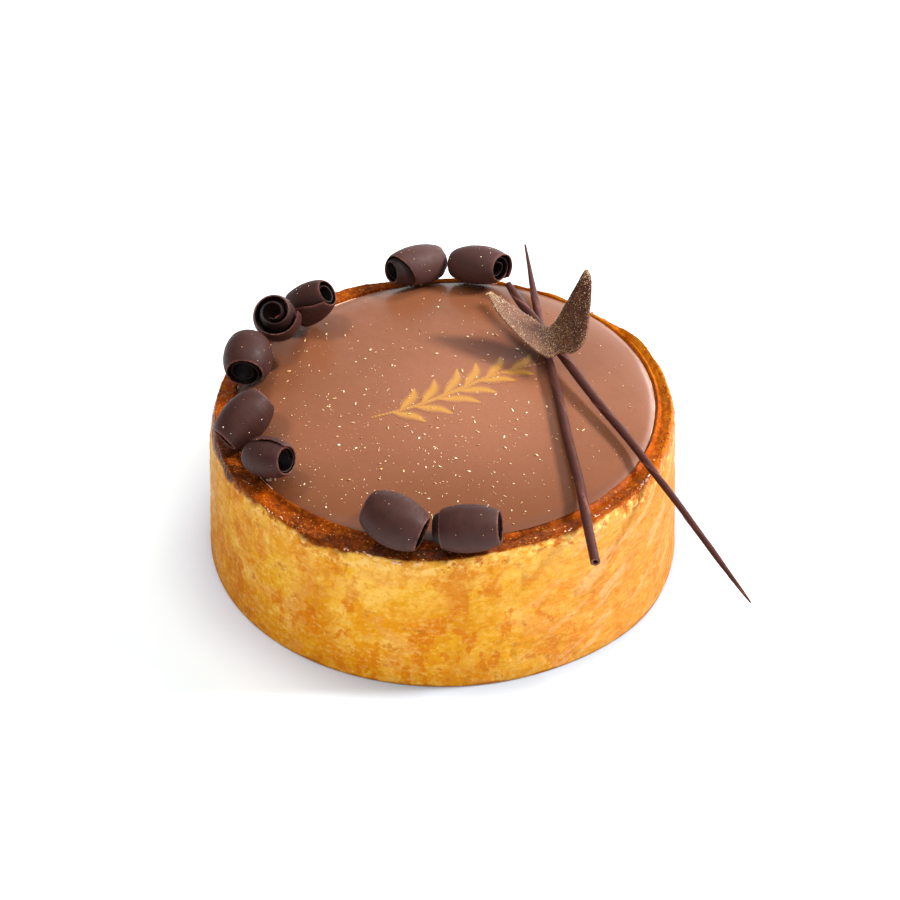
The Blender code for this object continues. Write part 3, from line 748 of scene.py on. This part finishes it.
def drop_finish():
    """Clear pale jelly."""
    s = Shader("gel_drop", Base_Color=srgb(214, 176, 150), Roughness=0.08)
    s.set(s.surface, Transmission_Weight=0.55, IOR=1.36)
    return s.material


def highlight_bead_finish():
    """Jelly along the glaze's border, coloured pale as a painted highlight."""
    s = Shader("jelly_bead_highlight", Base_Color=srgb(228, 190, 164), Roughness=0.3)
    return s.material


# Pastry case

def case_rows(angle):
    """Radius and height of the case's section at every angle."""
    top, lip, dent = rim_z(angle), glaze_r(angle) + GAP, bulge(angle, *RIM_DENT)
    even = np.ones_like(angle)

    def wall(z):
        return WALL_R - WALL_LEAN * z / RIM_Z + bulge(angle, *FOOT_BULGE) * max(0, 1 - z / FOOT_BULGE_H)

    upper, crest = WALL_R - WALL_LEAN - dent, RIM_R - dent
    inward, upward = FOOT_ROUND
    knots = [(wall(0) - inward, 0 * even)] + [(wall(z), z * even) for z in (upward, *WALL_LEVELS)]
    knots += [(upper - inward, top - down) for inward, down in RIM_ROUND] + [(crest, top)]
    knots += [(lip + (crest - lip) * out, LIP_Z + (top - LIP_Z) * up) for out, up in RIM_SLOPE]
    knots += [(lip, LIP_Z * even), (lip, MIDDLE_Z * even), (lip, FLOOR_T * even)]
    return np.array([np.stack(k, -1) for k in knots])


def burnt(points, angle):
    """How dark the rim is baked: darkest at the front, and in places at the left, right and back."""
    return np.clip(bulges(angle, BURNT) + 0.45 * rough(points, 3.5, 4, 71), 0, 1)


def make_gel(finish):
    """A thin ring of jelly that fills the groove between the glaze and the rim."""
    angle = circle(CASE_STEPS)
    lip, top = glaze_edge(angle) + GAP, rim_z(angle)
    reach = RIM_R - bulge(angle, *RIM_DENT) - lip
    groove = polar(lip, angle, 0 * angle)
    swell = 0.10 * rough(groove, 3, 3, 53)
    ragged = np.clip(0.75 + 0.6 * rough(groove, 3.5, 4, 55), 0.3, 1.1)
    slope_out, slope_up = RIM_SLOPE[1]
    r, z = [], []
    for out, share, lift in GEL_SECTION:
        share = share * ragged
        slope = np.interp(share, (0, slope_out), (0, slope_up)) * (top - LIP_Z)
        r.append(lip + out + reach * share)
        z.append(LIP_Z + slope + lift + (swell if lift > 0.3 else 0 * swell))
    p = polar(np.array(r), angle[None, :], np.array(z))
    # painted shade where the jelly faces the key light
    burn = np.clip(burnt(p, angle) + bulge(angle, *GEL_SHADE), 0, 1)
    piece("caramel_gel", p, grid(len(r), CASE_STEPS, True, True), finish, "crust", burn=burn, gild=0)


def wall_relief(p, r, z):
    """Flaking layers, fibres and small cracks of the baked wall, strongest under the rim."""
    flat = p * (1, 1, 2.4)
    step = rough(flat, 8, 3, 31) * 6
    ledge = np.floor(step) + ease(0.75, 1, step % 1)
    brow = ease(-7, -1, z - RIM_Z)
    crumbly = np.abs(rough(p, 1.6, 3, 19))
    fibres = 0.14 * rough(p * (1, 1, 3.4), 4.5, 3, 5) + 0.06 * rough(p * (1, 1, 2), 1.3, 2, 11)
    pits = 0.32 * ease(0.45, 0.85, lumps(p, 1.9, 17))
    relief = fibres + 0.04 * ledge + brow * (0.22 * crumbly - 0.10) - pits - 0.08
    return relief * ease(0, 2.5, z) * (r > RIM_R - 0.3)


def rim_relief(p, r, z):
    """Soft lumps of the rim, outside the filling only."""
    inside = (np.arange(len(p)) > sum(CASE_SPANS[:OUTER_SPANS]))[:, None]
    rim = ease(28, 33, z) * (r < RIM_R + 0.9) * ~inside
    return rim * (0.26 * rough(p, 2.6, 4, 41) + 0.12 * np.abs(rough(p, 1.0, 3, 47)) - 0.03)


def case_values(p, r, z, angle):
    """Where the case is toasted, baked dark, worn, streaked, pale and golden, for its finish."""
    ragged = 1.2 * rough(p, 5.5, 5, 61) + 0.3 * rough(p, 0.9, 3, 65)
    reach = RIM_R + 0.35 + bulges(angle, TOAST) + 0.8 * ragged
    below = z - rim_z(angle)
    outer = r > RIM_R - 1
    side = ease(0.25, 0.9, np.cos(angle)) + 0.35 * ease(0.4, 0.95, -np.cos(angle))
    values = dict(
        toast=ease(-0.1, 0.5, reach - r) * ease(-2.9, -1.7, below + 1.2 * ragged),
        burn=burnt(p, angle),
        gild=bulge(angle, *GILD) * ease(47.6, 50.2, r),
        brow=ease(-5.5, -1.2, below + 1.8 * ragged) * outer,
        foot=ease(1.2, 0.1, z + 1.0 * ragged) * outer,
        side=side,
        low=ease(24, 4, z) * (1 - side),
        high=ease(14, 30, z) * (1 - side),
        cream=bulge(angle, *FAR_LEFT) * ease(8, 24, z),
        right=bulge(angle, *WALL_RIGHT_SHADE),
        baked=bulges(angle, BAKED),
        painted_shade=bulge(angle, *WALL_PAINTED_SHADE),
        streaky=ease(0.2, 0.8, np.cos(angle)),
        around=WALL_R * ((angle + pi) % (2 * pi) - pi),
        height=z)
    return {key: value + 0 * z for key, value in values.items()}


def make_case(finish):
    """The baked case with its relief, closed by fans at the middle of its floor and of its foot."""
    angle = circle(CASE_STEPS)
    rows = smooth_rows(case_rows(angle), CASE_SPANS)
    rows[..., 1] = np.maximum(rows[..., 1], 0)
    r, z = rows[..., 0], rows[..., 1]
    p = polar(r, angle[None, :], z)
    along = np.gradient(rows, axis=0)
    out = unit(np.stack([along[..., 1], -along[..., 0]], -1))
    relief = np.clip(wall_relief(p, r, z) + rim_relief(p, r, z), *RELIEF_MOST)
    shaped = rows + out * relief[..., None]
    shaped[..., 1] = np.maximum(shaped[..., 1], 0)
    points = polar(shaped[..., 0], angle[None, :], shaped[..., 1]).reshape(-1, 3)
    points = np.concatenate([points, [(0, 0, 0), (0, 0, FLOOR_T)]])
    values = {key: np.append(value.ravel(), [0, 0]) for key, value in case_values(p, r, z, angle).items()}
    piece("pastry_case", points, capped_tube(len(rows), CASE_STEPS), finish, "crust", ["crust"], **values)


# Glaze, flakes and sprig

def make_glaze(finish):
    """The filling up to its glaze, whose soft edge laps over the case."""
    angle = circle(GLAZE_STEPS)
    wobble = 0.16 * rough(polar(np.full_like(angle, 40), angle, 0 * angle), 5, 3, 81)
    body, edge = glaze_r(angle) + np.minimum(wobble, 0.1), glaze_edge(angle) + wobble
    insets = np.concatenate([GLAZE_INSETS, np.arange(*GLAZE_INNER)])
    r = np.array([edge - inset * edge / GLAZE_MIDDLE for inset in insets])
    z = glaze_z(np.minimum(r, glaze_edge(angle) - 0.02), angle)
    z = z + ripple(polar(r, angle[None, :], z))
    levels = (FLOOR_T + GAP, MIDDLE_Z, LIP_Z + 0.1)
    r = np.concatenate([[body for _ in levels], r])
    z = np.concatenate([[np.full_like(angle, level) for level in levels], z])
    middles = [(0, 0, FLOOR_T + GAP), (0, 0, float(z[-1].mean()))]
    points = np.concatenate([polar(r, angle[None, :], z).reshape(-1, 3), middles])
    values = glaze_values(points[:, 0], points[:, 1])
    piece("glaze", points, capped_tube(len(r), GLAZE_STEPS), finish, "filling", ["filling"], **values)


def clear_of_toppings(x, y):
    """True where no curl rests and neither stick passes."""
    for curl in CURLS.values():
        if hypot(x - curl["at"][0], y - curl["at"][1]) < curl["length"] / 2 + FLAKE_CLEAR[0]:
            return False
    for stick in STICKS.values():
        a, b = Vector(stick["thin"][:2]), Vector(stick["thick"][:2])
        if abs((b - a).normalized().cross(Vector((x, y)) - a)) < FLAKE_CLEAR[1]:
            return False
    return True


def large_flakes():
    """The flakes that the solids have: x, y, size, narrowness and turn."""
    draw = random.Random(7)
    found = []
    turn = pi * (3 - sqrt(5))
    for i in range(FLAKES * 2):
        r = FLAKE_FIELD * sqrt((i + 0.5) / (FLAKES * 2))
        x = r * cos(i * turn) + draw.uniform(-FLAKE_STRAY, FLAKE_STRAY)
        y = r * sin(i * turn) + draw.uniform(-FLAKE_STRAY, FLAKE_STRAY)
        if len(found) < FLAKES and hypot(x, y) < FLAKE_FIELD and clear_of_toppings(x, y):
            size = draw.uniform(*FLAKE_SIZE)
            found.append((x, y, size, draw.uniform(*FLAKE_NARROW), draw.uniform(0, pi)))
    return found


def drawn_size(draw, middle, spread, least, most):
    """A random size, more often small than large."""
    return min(most, middle * exp(draw.gauss(0, spread)) + least)


class Heap:
    """Small closed forms that are drawn at random and gathered into one piece."""

    def __init__(self, seed):
        self.draw = random.Random(seed)
        self.points, self.faces, self.tones = [], [], []

    def add(self, points, faces, tone=0.5):
        start = len(self.points)
        self.points += points
        self.faces += [[start + k for k in face] for face in faces]
        self.tones += [tone] * len(points)

    def finish(self, name, finish, slot):
        piece(name, self.points, self.faces, finish, slot, tone=self.tones)

    def flake(self, at, up, size, narrow, turn):
        """A thin crumpled flake at a place, flat to the surface whose outward direction is up."""
        draw = self.draw
        corners = draw.randint(5, 7)
        lean = Euler((draw.gauss(0, 0.35), draw.gauss(0, 0.35), turn)).to_matrix()
        lean = Vector(up).to_track_quat("Z", "Y").to_matrix() @ lean
        points, thick = [], 0.02 + 0.05 * size
        for side, k in itertools.product((-1, 1), range(corners)):
            reach = size * draw.uniform(0.55, 1.0)
            a = 2 * pi * k / corners
            crumple = side * thick + draw.gauss(0, size * 0.08)
            points.append(Vector(at) + lean @ Vector((reach * cos(a), reach * narrow * sin(a), crumple)))
        self.add(points, drum(2, corners), draw.random())

    def flake_on_glaze(self, x, y, size, narrow, turn):
        self.flake((x, y, on_glaze(x, y) + 0.03 + size * 0.12), (0, 0, 1), size, narrow, turn)

    def pebble(self, body, at, size, tone=None):
        """A small irregular grain, from the corners and triangles of an even one."""
        draw, (corners, triangles) = self.draw, body
        turned = Euler((draw.uniform(0, pi), draw.uniform(0, pi), draw.uniform(0, pi))).to_matrix()
        squash = Vector((1, draw.uniform(0.5, 1), draw.uniform(0.4, 0.8)))
        shape = [turned @ (corner * draw.uniform(0.75, 1.1)) for corner in corners]
        points = [tuple(at[c] + v[c] * squash[c] * size for c in range(3)) for v in shape]
        self.add(points, triangles, draw.random() if tone is None else tone)

    def drop(self, at, lean, long, wide, high):
        """A low oval drop."""
        (x, y, z), points, levels = at, [], (0, 0.5, 0.85)
        for up, k in itertools.product(levels, range(DROP_SIDES)):
            share, b = sqrt(1 - up * up), 2 * pi * k / DROP_SIDES
            u, v = long * share * cos(b), wide * share * sin(b)
            place = (x + u * cos(lean) - v * sin(lean), y + u * sin(lean) + v * cos(lean), z + high * up)
            points.append(place)
        self.add(points, drum(len(levels), DROP_SIDES))


def make_flakes(finish, curl_places):
    """Gold flakes on the glaze, those of the solids and many finer ones, and a few on the curls."""
    flakes = Heap(19)
    draw = flakes.draw
    for x, y, size, narrow, turn in large_flakes():
        flakes.flake_on_glaze(x, y, size, narrow * 0.6, turn)
    made = 0
    while made < FINE_FLAKES:
        r, a = FINE_FIELD * sqrt(draw.random()), draw.uniform(-pi, pi)
        x, y = r * cos(a), r * sin(a)
        share = SPARSE if x > SPARSE_FROM else 1.0
        if draw.random() > share * (0.65 + 0.35 * cos(a + 1.9)):
            continue
        size = drawn_size(draw, *FINE_SIZE)
        flakes.flake_on_glaze(x, y, size, draw.uniform(0.18, 0.55), draw.uniform(0, pi))
        made += 1
    for places, directions in curl_places:
        for k in draw.sample(range(len(places)), CURL_FLAKES):
            size = drawn_size(draw, *CURL_FLAKE_SIZE)
            flakes.flake(places[k] + directions[k] * 0.05, directions[k], size, draw.uniform(0.3, 0.9), 0)
    flakes.finish("gold_flakes", finish, "filling")


def make_leaf_grains(finish, outer, dust):
    """Fine gold grains on the leaf's outer face, denser where the dust is."""
    flakes = Heap(31)
    draw = flakes.draw
    places, directions, shares = outer.reshape(-1, 3), normals(outer).reshape(-1, 3), dust.ravel()
    points_of_one = 12    # on average
    while len(flakes.tones) < LEAF_GRAINS * points_of_one:
        k = draw.randrange(len(places))
        if draw.random() > 0.05 + shares[k]:
            continue
        up = Vector(directions[k])
        at = Vector(places[k]) + Vector((draw.gauss(0, 0.2), draw.gauss(0, 0.2), 0)) + up * 0.02
        size = drawn_size(draw, *LEAF_GRAIN_SIZE)
        flakes.flake(at, up, size, draw.uniform(0.5, 1.0), 0)
    flakes.finish("leaf_grains", finish, "leaf")


def stroke_ink(x, y, path, widths):
    """How much ink one stroke leaves at each place: 1 on its middle line and 0 past its width."""
    knots = smooth_rows(np.asarray(path, float), [12] * (len(path) - 1))
    half = np.interp(np.linspace(0, 1, len(knots)), np.linspace(0, 1, len(widths)), widths) / 2
    return np.max([1 - np.hypot(x - at[0], y - at[1]) / w for at, w in zip(knots, half)], axis=0)


def sprig_strokes():
    """Paths and widths of the stem and of its leaves, which bend towards the stem's tip."""
    stem = smooth_rows(np.array(SPRIG_STEM, float), [20] * (len(SPRIG_STEM) - 1))
    along = np.gradient(stem, axis=0)
    first, pair, offset = SPRIG_STEPS
    strokes = [(SPRIG_STEM, SPRIG_STEM_WIDTHS)]
    for k, side in itertools.product(range(SPRIG_LEAVES), (-1, 1)):
        at = int(first + pair * k + offset * (side > 0))
        heading = atan2(along[at][1], along[at][0]) + side * radians(SPRIG_SPREAD - 3 * k)
        long = SPRIG_LEAF * (1 - 0.09 * abs(k - 2))
        t = np.array((0.06, 0.35, 0.68, 1))
        bent = heading - side * 0.64 * t * (1 - t)
        path = stem[at] + (long * t * (np.cos(bent), np.sin(bent))).T
        strokes.append((path, SPRIG_LEAF_WIDTHS))
    return strokes


def make_sprig(finish):
    """The printed sprig: fine cells just above the glaze, kept where there is ink."""
    x, y = np.meshgrid(*(np.arange(low, high, PRINT_CELL) for low, high in SPRIG_BOX), indexing="ij")
    ink = np.max([stroke_ink(x, y, path, widths) for path, widths in sprig_strokes()], axis=0)
    ink = np.clip(ink, 0, 1).ravel()
    z = glaze_z(np.hypot(x, y), np.arctan2(y, x)) + ripple(np.stack([x, y, 0 * x], -1)) + PRINT_LIFT
    faces, points = np.array(grid(*x.shape)), np.stack([x, y, z], -1).reshape(-1, 3)
    faces, points, ink = kept(faces, (ink[faces] > 0).any(1), points, ink)
    points, faces = closed_sheet(points, faces, PRINT_DEPTH)
    values = glaze_values(points[:, 0], points[:, 1])
    piece("gold_sprig", points, faces, finish, "filling", sharp=60, ink=np.tile(ink, 2), **values)


# Curls

def stations(share, values):
    """A smooth step from one value to the next along shares of 0 to 1."""
    values = np.array(values, float)
    place = share * (len(values) - 1)
    k = np.minimum(place.astype(int), len(values) - 2)
    f = place - k
    f = f * f * (3 - 2 * f)
    return values[k] * (1 - f) + values[k + 1] * f


def curl_ends(curl, share, turn, seed):
    """How far along its axis the roll reaches each way, as a share of half the length."""
    extra, side = curl.get("slant", (0, 0))
    down, under = curl.get("foot", (0, 0))
    wander = np.concatenate([share * 40, 0 * share + seed, 0 * share], 1)
    rag = RAGGED / curl["length"]
    within = np.minimum(share, 1)
    recess = INNER_RECESS * ease(0.8, 1.15, share)
    lo = stations(within, curl["lo"]) - down * np.cos(turn - radians(under))
    hi = stations(within, curl["hi"]) + extra * np.cos(turn - radians(side))
    lo += rag * rough(wander, 3, 4, 3)[:, None] + recess
    hi += rag * rough(wander, 3, 4, 9)[:, None] - recess
    return lo, hi


def curl_middle(curl, share, turn, along, seed):
    """The rolled sheet's middle surface round the curl's own axis."""
    radius = curl["radius"] - SHEET_T / 2 - curl["drop"] * share ** TIGHTEN
    radius = np.maximum(radius, INNER_LEAST + 0.25 * (share[-1] - share))
    angle = turn + radians(curl.get("skew", 0)) * along * (1 - np.minimum(share, 1))
    torn = rough(np.stack([along[0] * 6, 0 * along[0] + seed, 0 * along[0]], 1), 2.2, 4, 13)
    stray, fade = TORN
    angle = angle + curl["way"] * stray * torn * np.maximum(0, 1 - share * fade)
    r = radius * np.sqrt(1 - curl["barrel"] * np.minimum(1, along ** 2))
    uneven = np.stack([along * 7, share * 2 + seed + 0 * along, 0 * along], -1)
    r = r + 0.035 * rough(uneven, 0.8, 3, 21)
    return np.stack([along * curl["length"] / 2, -r * np.sin(angle), r * np.cos(angle)], -1)


def curl_outside(middle, at, axis):
    """Places on the upper half of a curl's outside, and their outward directions."""
    places = middle.reshape(-1, 3)
    away = places - np.array(at)
    away = unit(away - (away @ axis)[:, None] * axis)
    seen = away[:, 2] > 0.1
    places, away = places[seen] + away[seen] * SHEET_T / 2, away[seen]
    return [Vector(place) for place in places], [Vector(direction) for direction in away]


def make_curl(name, curl, finish, seed):
    """A rolled sheet with ragged ends and a torn outer edge; its inside winds on a little tighter."""
    turns, girth = curl["turns"], 2 * pi * curl["turns"] * curl["radius"]
    most = 1 + INNER_TURNS.get(name, INNER_COIL) / turns
    share = np.linspace(0, most, int(CURL_TURNS * most) + 1)[:, None]
    turn = radians(curl["seam"]) + curl["way"] * 2 * pi * turns * share
    lo, hi = curl_ends(curl, share, turn, seed)
    across = np.linspace(0, 1, CURL_BANDS + 1)[None, :]
    along = lo + (hi - lo) * across
    turned = np.array(Euler((0, -radians(curl["tilt"]), radians(curl["heading"]))).to_matrix())
    middle = curl_middle(curl, share, turn, along, seed) @ turned.T + curl["at"]
    from_end = np.minimum(across, 1 - across) * (hi - lo) * curl["length"] / 2
    border = np.minimum(from_end, np.minimum(share, most - share) * girth)
    points, faces = sheet(middle, SHEET_T * (0.5 + 0.5 * ease(0, 0.6, border)))
    # Inner: the roll's inside face and deeper coils, painted dark as shade; edge: the cut edges' painted
    # highlight, which deep dims.
    second, deep = np.arange(2)[:, None, None], ease(0.85, 1.25, share * turns)
    inner = np.maximum(second if curl["way"] > 0 else 1 - second, deep * 0.92)
    # pale: painted sheen on the curls at the back
    piece(name + "_roll", points, faces, finish, name, [name], sharp=50, inner=inner, deep=deep,
          edge=1 - ease(0.02, 0.11, border), pale=0.5 if curl["at"][1] > CURL_SHEEN_FROM else 0,
          along=along * curl["length"] / 2, wrap=share * girth + 9 * seed)
    return curl_outside(middle[share[:, 0] * turns < 0.9][:, 2:-2], curl["at"], turned[:, 0])


# Sticks

def table(share, pairs, blur=9):
    """Values between (share, value) pairs, with the corners softened."""
    xs, ys = zip(*pairs)
    sharp = np.interp(share, xs, ys)
    padded = np.concatenate([np.full(blur, sharp[0]), sharp, np.full(blur, sharp[-1])])
    return np.convolve(padded, np.ones(2 * blur + 1) / (2 * blur + 1), "valid")


def stick_rings(stick, length):
    """Share along the stick, radius and sideways bend of each ring; the last ones line the open end."""
    share = np.linspace(0, 1, STICK_RINGS)
    bend = table(share, stick["bends"])
    bend -= np.interp(share, (0, 1), (bend[0], bend[-1]))
    radius = table(share, stick["radii"], 4)
    radius[0] = STICK_TIP
    bore, deep = radius[-1] * STICK_BORE[0], STICK_BORE[1] / length
    inside = ((1, radius[-1] * 0.8), (1, bore), (1 - 1.0 / length, bore * 0.95), (1 - deep, bore * 0.5))
    ats, sizes = zip(*inside)
    return np.append(share, ats), np.append(radius, sizes), np.append(bend, [bend[-1]] * len(inside))


def make_stick(name, stick, finish, seed):
    """A rod rolled from a thin sheet, whose outer edge runs round it as a long spiral."""
    thin, thick = np.array(stick["thin"]), np.array(stick["thick"])
    length = np.linalg.norm(thick - thin)
    side = unit(np.cross((thick - thin) / length, (0, 0, 1)))
    over = np.cross(side, (thick - thin) / length)
    share, radius, bend = stick_rings(stick, length)
    turn = circle(STICK_SIDES)
    turns, first = STICK_WINDS[name]
    wind = (turn[None, :] - 2 * pi * turns * share[:, None] - radians(first)) % (2 * pi) / (2 * pi)
    row = np.arange(len(share))[:, None]
    outside = row < STICK_RINGS
    size = radius[:, None] * (1 + STICK_STEP * (0.35 - wind) * outside)
    middle = thin + (thick - thin) * share[:, None]
    middle[:, 0] += bend
    round_it = np.cos(turn)[:, None] * side + np.sin(turn)[:, None] * over
    points = middle[:, None] + size[..., None] * round_it
    points += (0.03 * rough(points, 2.0, 3, seed) * outside)[..., None] * over
    # Edge: a painted highlight along the seam, and a pale ring round the open end; inner: the bore's lining,
    # painted dark as shade.
    edge = np.exp(-(np.minimum(wind, 1 - wind) / 0.05) ** 2) * outside
    edge *= ease(-0.5, 0.5, rough(points, 7, 2, seed + 5))
    edge += 0.6 * (row >= STICK_RINGS) * (row < STICK_RINGS + 2)
    faces = drum(len(share), STICK_SIDES)
    piece(name + "_roll", points, faces, finish, name, [name], sharp=60, edge=edge, deep=0, pale=0,
          inner=0.9 * (row >= STICK_RINGS + 2), along=share[:, None] * length, wrap=turn)


# Leaf

def make_leaf(finish):
    """The forked leaf, ragged below; gives its outer face and how much dust lies there."""
    spans = [LEAF_PER_SPAN] * (len(LEAF_LOWER) - 1)
    lower = smooth_rows(np.array(LEAF_LOWER), spans)
    inner = smooth_rows(np.array(LEAF_INNER), spans)
    lower += 0.16 * rough(lower, 2.4, 3, 101)[:, None] * np.array((0.5, 1, 0))
    across = np.linspace(0, 1, LEAF_ACROSS)[None, :, None]
    middle = lower[:, None] * (1 - across) + inner[:, None] * across
    out = normals(middle)
    middle = middle + out * 0.10 * rough(middle, 1.8, 3, 105)[..., None]
    width = np.linalg.norm(lower - inner, axis=1)[:, None]
    share = across[..., 0]
    border = np.minimum(np.minimum(share, 1 - share) * width, 3)
    thick = LEAF_T * (0.6 + 0.4 * ease(0, 0.7, border))
    run = np.linspace(0, 1, len(lower))[:, None]
    dust = 0.62 - 0.46 * ease(0.5, 0.95, run) + 0.5 * (1 - ease(0, 1.0, share * width))
    silver = 1 - ease(0.2, 0.55, run)
    piece("leaf_dusted", *sheet(middle, thick), finish, "leaf", ["leaf"], sharp=55, dust=dust, silver=silver)
    return middle + out * (thick / 2)[..., None], dust


# Crumbs on the rim

def icosahedron():
    """Directions of its twelve corners, and the triangles between them."""
    golden = (1 + sqrt(5)) / 2
    pairs = [(a, golden * b) for a, b in itertools.product((-1, 1), repeat=2)]
    corners = [(a, b, 0) for a, b in pairs] + [(0, a, b) for a, b in pairs] + [(b, 0, a) for a, b in pairs]
    hull = bmesh.new()
    made = [hull.verts.new(corner) for corner in corners]
    bmesh.ops.convex_hull(hull, input=made)
    triangles = [[made.index(corner) for corner in face.verts] for face in hull.faces]
    hull.free()
    return [Vector(corner).normalized() for corner in corners], triangles


def make_bead(finish):
    """A fine bead of jelly along the glaze's border, thickest at the right and at the back left; its pale
    finish is a painted highlight.
    """
    angle = circle(CASE_STEPS)
    size = bulges(angle, BEAD) * (1 + 0.35 * rough(polar(GLAZE_R, angle, 0 * angle), 2.5, 3, 57))
    turn = circle(BEAD_SIDES)[:, None]
    middle = glaze_edge(angle) - 0.12
    z = glaze_z(middle, angle) + size * np.sin(turn)
    points = polar(middle + 1.4 * size * np.cos(turn), angle[None, :] + 0 * turn, z).reshape(-1, 3)
    faces = np.array(grid(BEAD_SIDES, CASE_STEPS, True, True))
    faces, points = kept(faces, (np.tile(size, BEAD_SIDES)[faces] > BEAD_LEAST).all(1), points)
    piece("jelly_bead_highlight", points, faces.tolist(), finish, "filling", fill=True)


def make_drops(finish):
    """Small clear drops of jelly at the feet of the curls."""
    drops = Heap(41)
    draw = drops.draw
    for curl in CURLS.values():
        for _ in range(DROPS):
            a = atan2(curl["at"][1], curl["at"][0]) + draw.uniform(-0.09, 0.09)
            r = float(glaze_r(a)) + draw.uniform(-1.6, 0.6)
            size, lean = draw.uniform(0.3, 0.75), draw.uniform(0, pi)
            within = min(r, float(glaze_r(a)) - 0.3)
            base = on_glaze(within * cos(a), within * sin(a)) - 0.05
            drops.drop((r * cos(a), r * sin(a), base), lean, size, 0.6 * size, 0.6 * size)
    drops.finish("gel_drops", finish, "crust")


def make_glints(finish):
    """Thin pale streaks along the rim's outer edge: painted glints on the glossy caramel."""
    glints = Heap(43)
    draw = glints.draw
    for at, r, long in RIM_GLINTS:
        a = radians(at)
        z = float(rim_z(a)) - max(0, r - RIM_R) * 1.4 - 0.12
        for _ in range(3):
            b, s = a + draw.gauss(0, 0.012), r + draw.gauss(0, 0.22)
            lean = b + pi / 2 + draw.gauss(0, 0.25)
            half, wide = long * draw.uniform(0.3, 0.6), draw.uniform(0.08, 0.16)
            glints.drop((s * cos(b), s * sin(b), z), lean, half, wide, 0.3)
    glints.finish("rim_glints", finish, "crust")


def make_crumbs(finish):
    """Fine crumbs all over the rim, and a few large ones in one place."""
    crumbs, body = Heap(23), icosahedron()
    draw = crumbs.draw
    for _ in range(CRUMBS):
        a = draw.uniform(-pi, pi)
        share = draw.random()
        lip, top = float(glaze_r(a)) + GAP, float(rim_z(a))
        r = RIM_R + 0.4 - (RIM_R + 0.2 - lip) * share
        z = top - (top - LIP_Z) * ease(0.15, 1, share)
        size = drawn_size(draw, *CRUMB_SIZE)
        crumbs.pebble(body, (r * cos(a), r * sin(a), z + size * 0.3), size)
    angles, radii = LARGE_CRUMB_PLACE
    for k in range(LARGE_CRUMBS):
        a, r, size = radians(draw.uniform(*angles)), draw.uniform(*radii), draw.uniform(*LARGE_CRUMB_SIZE)
        crumbs.pebble(body, (r * cos(a), r * sin(a), float(rim_z(a)) + 0.3 + 0.2 * k), size, 0.4)
    crumbs.finish("rim_crumbs", finish, "crust")


# Camera, floor and lights

def make_stage():
    """A white floor with a painted shadow round the flan's foot, darkest at the right."""
    bpy.ops.mesh.primitive_plane_add(size=FLOOR_SIZE, location=(0, 0, 0))
    floor = bpy.context.object
    floor.name = "floor"
    s = Shader("white_floor", Roughness=0.7, Emission_Color=(1.0, 1.0, 1.0), Emission_Strength=FLOOR_GLOW)
    away = s.add("ShaderNodeVectorMath", Vector=s.place)
    away.operation = "LENGTH"
    split = s.add("ShaderNodeSeparateXYZ", Vector=s.place)
    # the painted shadow's colour, from the left side to the right
    near = s.mix(s.span(split.outputs["X"], *FLOOR_SIDES), FLOOR_SHADOW_LEFT, FLOOR_SHADOW_RIGHT)
    s.set(s.surface, Base_Color=s.mix(s.span(away.outputs["Value"], *FLOOR_FADE), near, FLOOR_FAR))
    floor.data.materials.append(s.material)


def make_lights():
    """An even white world, and soft round lights that all point at the flan."""
    world = bpy.data.worlds.new("studio")
    world.use_nodes = True
    background = world.node_tree.nodes["Background"]
    background.inputs["Color"].default_value = (1, 1, 1, 1)
    background.inputs["Strength"].default_value = WORLD_LIGHT
    bpy.context.scene.world = world
    for name, at, size, power in LIGHTS:
        lamp = bpy.data.lights.new(name, "AREA")
        lamp.shape, lamp.size, lamp.energy = "DISK", size, power
        item = bpy.data.objects.new(name, lamp)
        item.location = at
        item.rotation_euler = (Vector(LIGHT_AIM) - Vector(at)).to_track_quat("-Z", "Y").to_euler()
        bpy.context.scene.collection.objects.link(item)


def make_camera():
    """The camera that the photo was taken with, as far as its circles tell."""
    tilt = radians(CAMERA_TILT)
    back = Vector((0, -cos(tilt), sin(tilt)))
    lens = bpy.data.cameras.new("camera")
    lens.lens, lens.sensor_width = CAMERA_LENS, 36
    lens.clip_start, lens.clip_end = 0.01, 20
    camera = bpy.data.objects.new("camera", lens)
    camera.location = (Vector(CAMERA_TARGET) + back * CAMERA_DISTANCE) * MM
    camera.rotation_euler = (-back).to_track_quat("-Z", "Y").to_euler()
    bpy.context.scene.collection.objects.link(camera)
    bpy.context.scene.camera = camera


def build():
    bpy.context.scene.view_settings.view_transform = "Standard"
    make_camera()
    make_stage()
    make_lights()
    gold = toned_finish("gold", GOLD, Metallic=0.2, Roughness=0.35)
    make_case(pastry_finish())
    make_gel(gel_finish())
    make_glaze(glaze_finish())
    make_sprig(glaze_finish("gold_print", printed=True))
    curl_chocolate = chocolate_finish("dark_chocolate")
    curl_places = []
    for k, (name, curl) in enumerate(CURLS.items()):
        curl_places.append(make_curl(name, curl, curl_chocolate, 10 * k))
    make_flakes(gold, curl_places)
    make_drops(drop_finish())
    highlight_jelly = highlight_bead_finish()
    make_bead(highlight_jelly)
    make_glints(highlight_jelly)
    stick_chocolate = chocolate_finish("stick_chocolate", srgb(66, 29, 22), srgb(130, 78, 66))
    for k, (name, stick) in enumerate(STICKS.items()):
        make_stick(name, stick, stick_chocolate, 200 + k)
    leaf_dust = toned_finish("leaf_dust", LEAF_DUST, Metallic=0.2, Roughness=0.4)
    make_leaf_grains(leaf_dust, *make_leaf(leaf_finish()))
    make_crumbs(toned_finish("caramel_crumb", CRUMB, Roughness=0.22))


build()
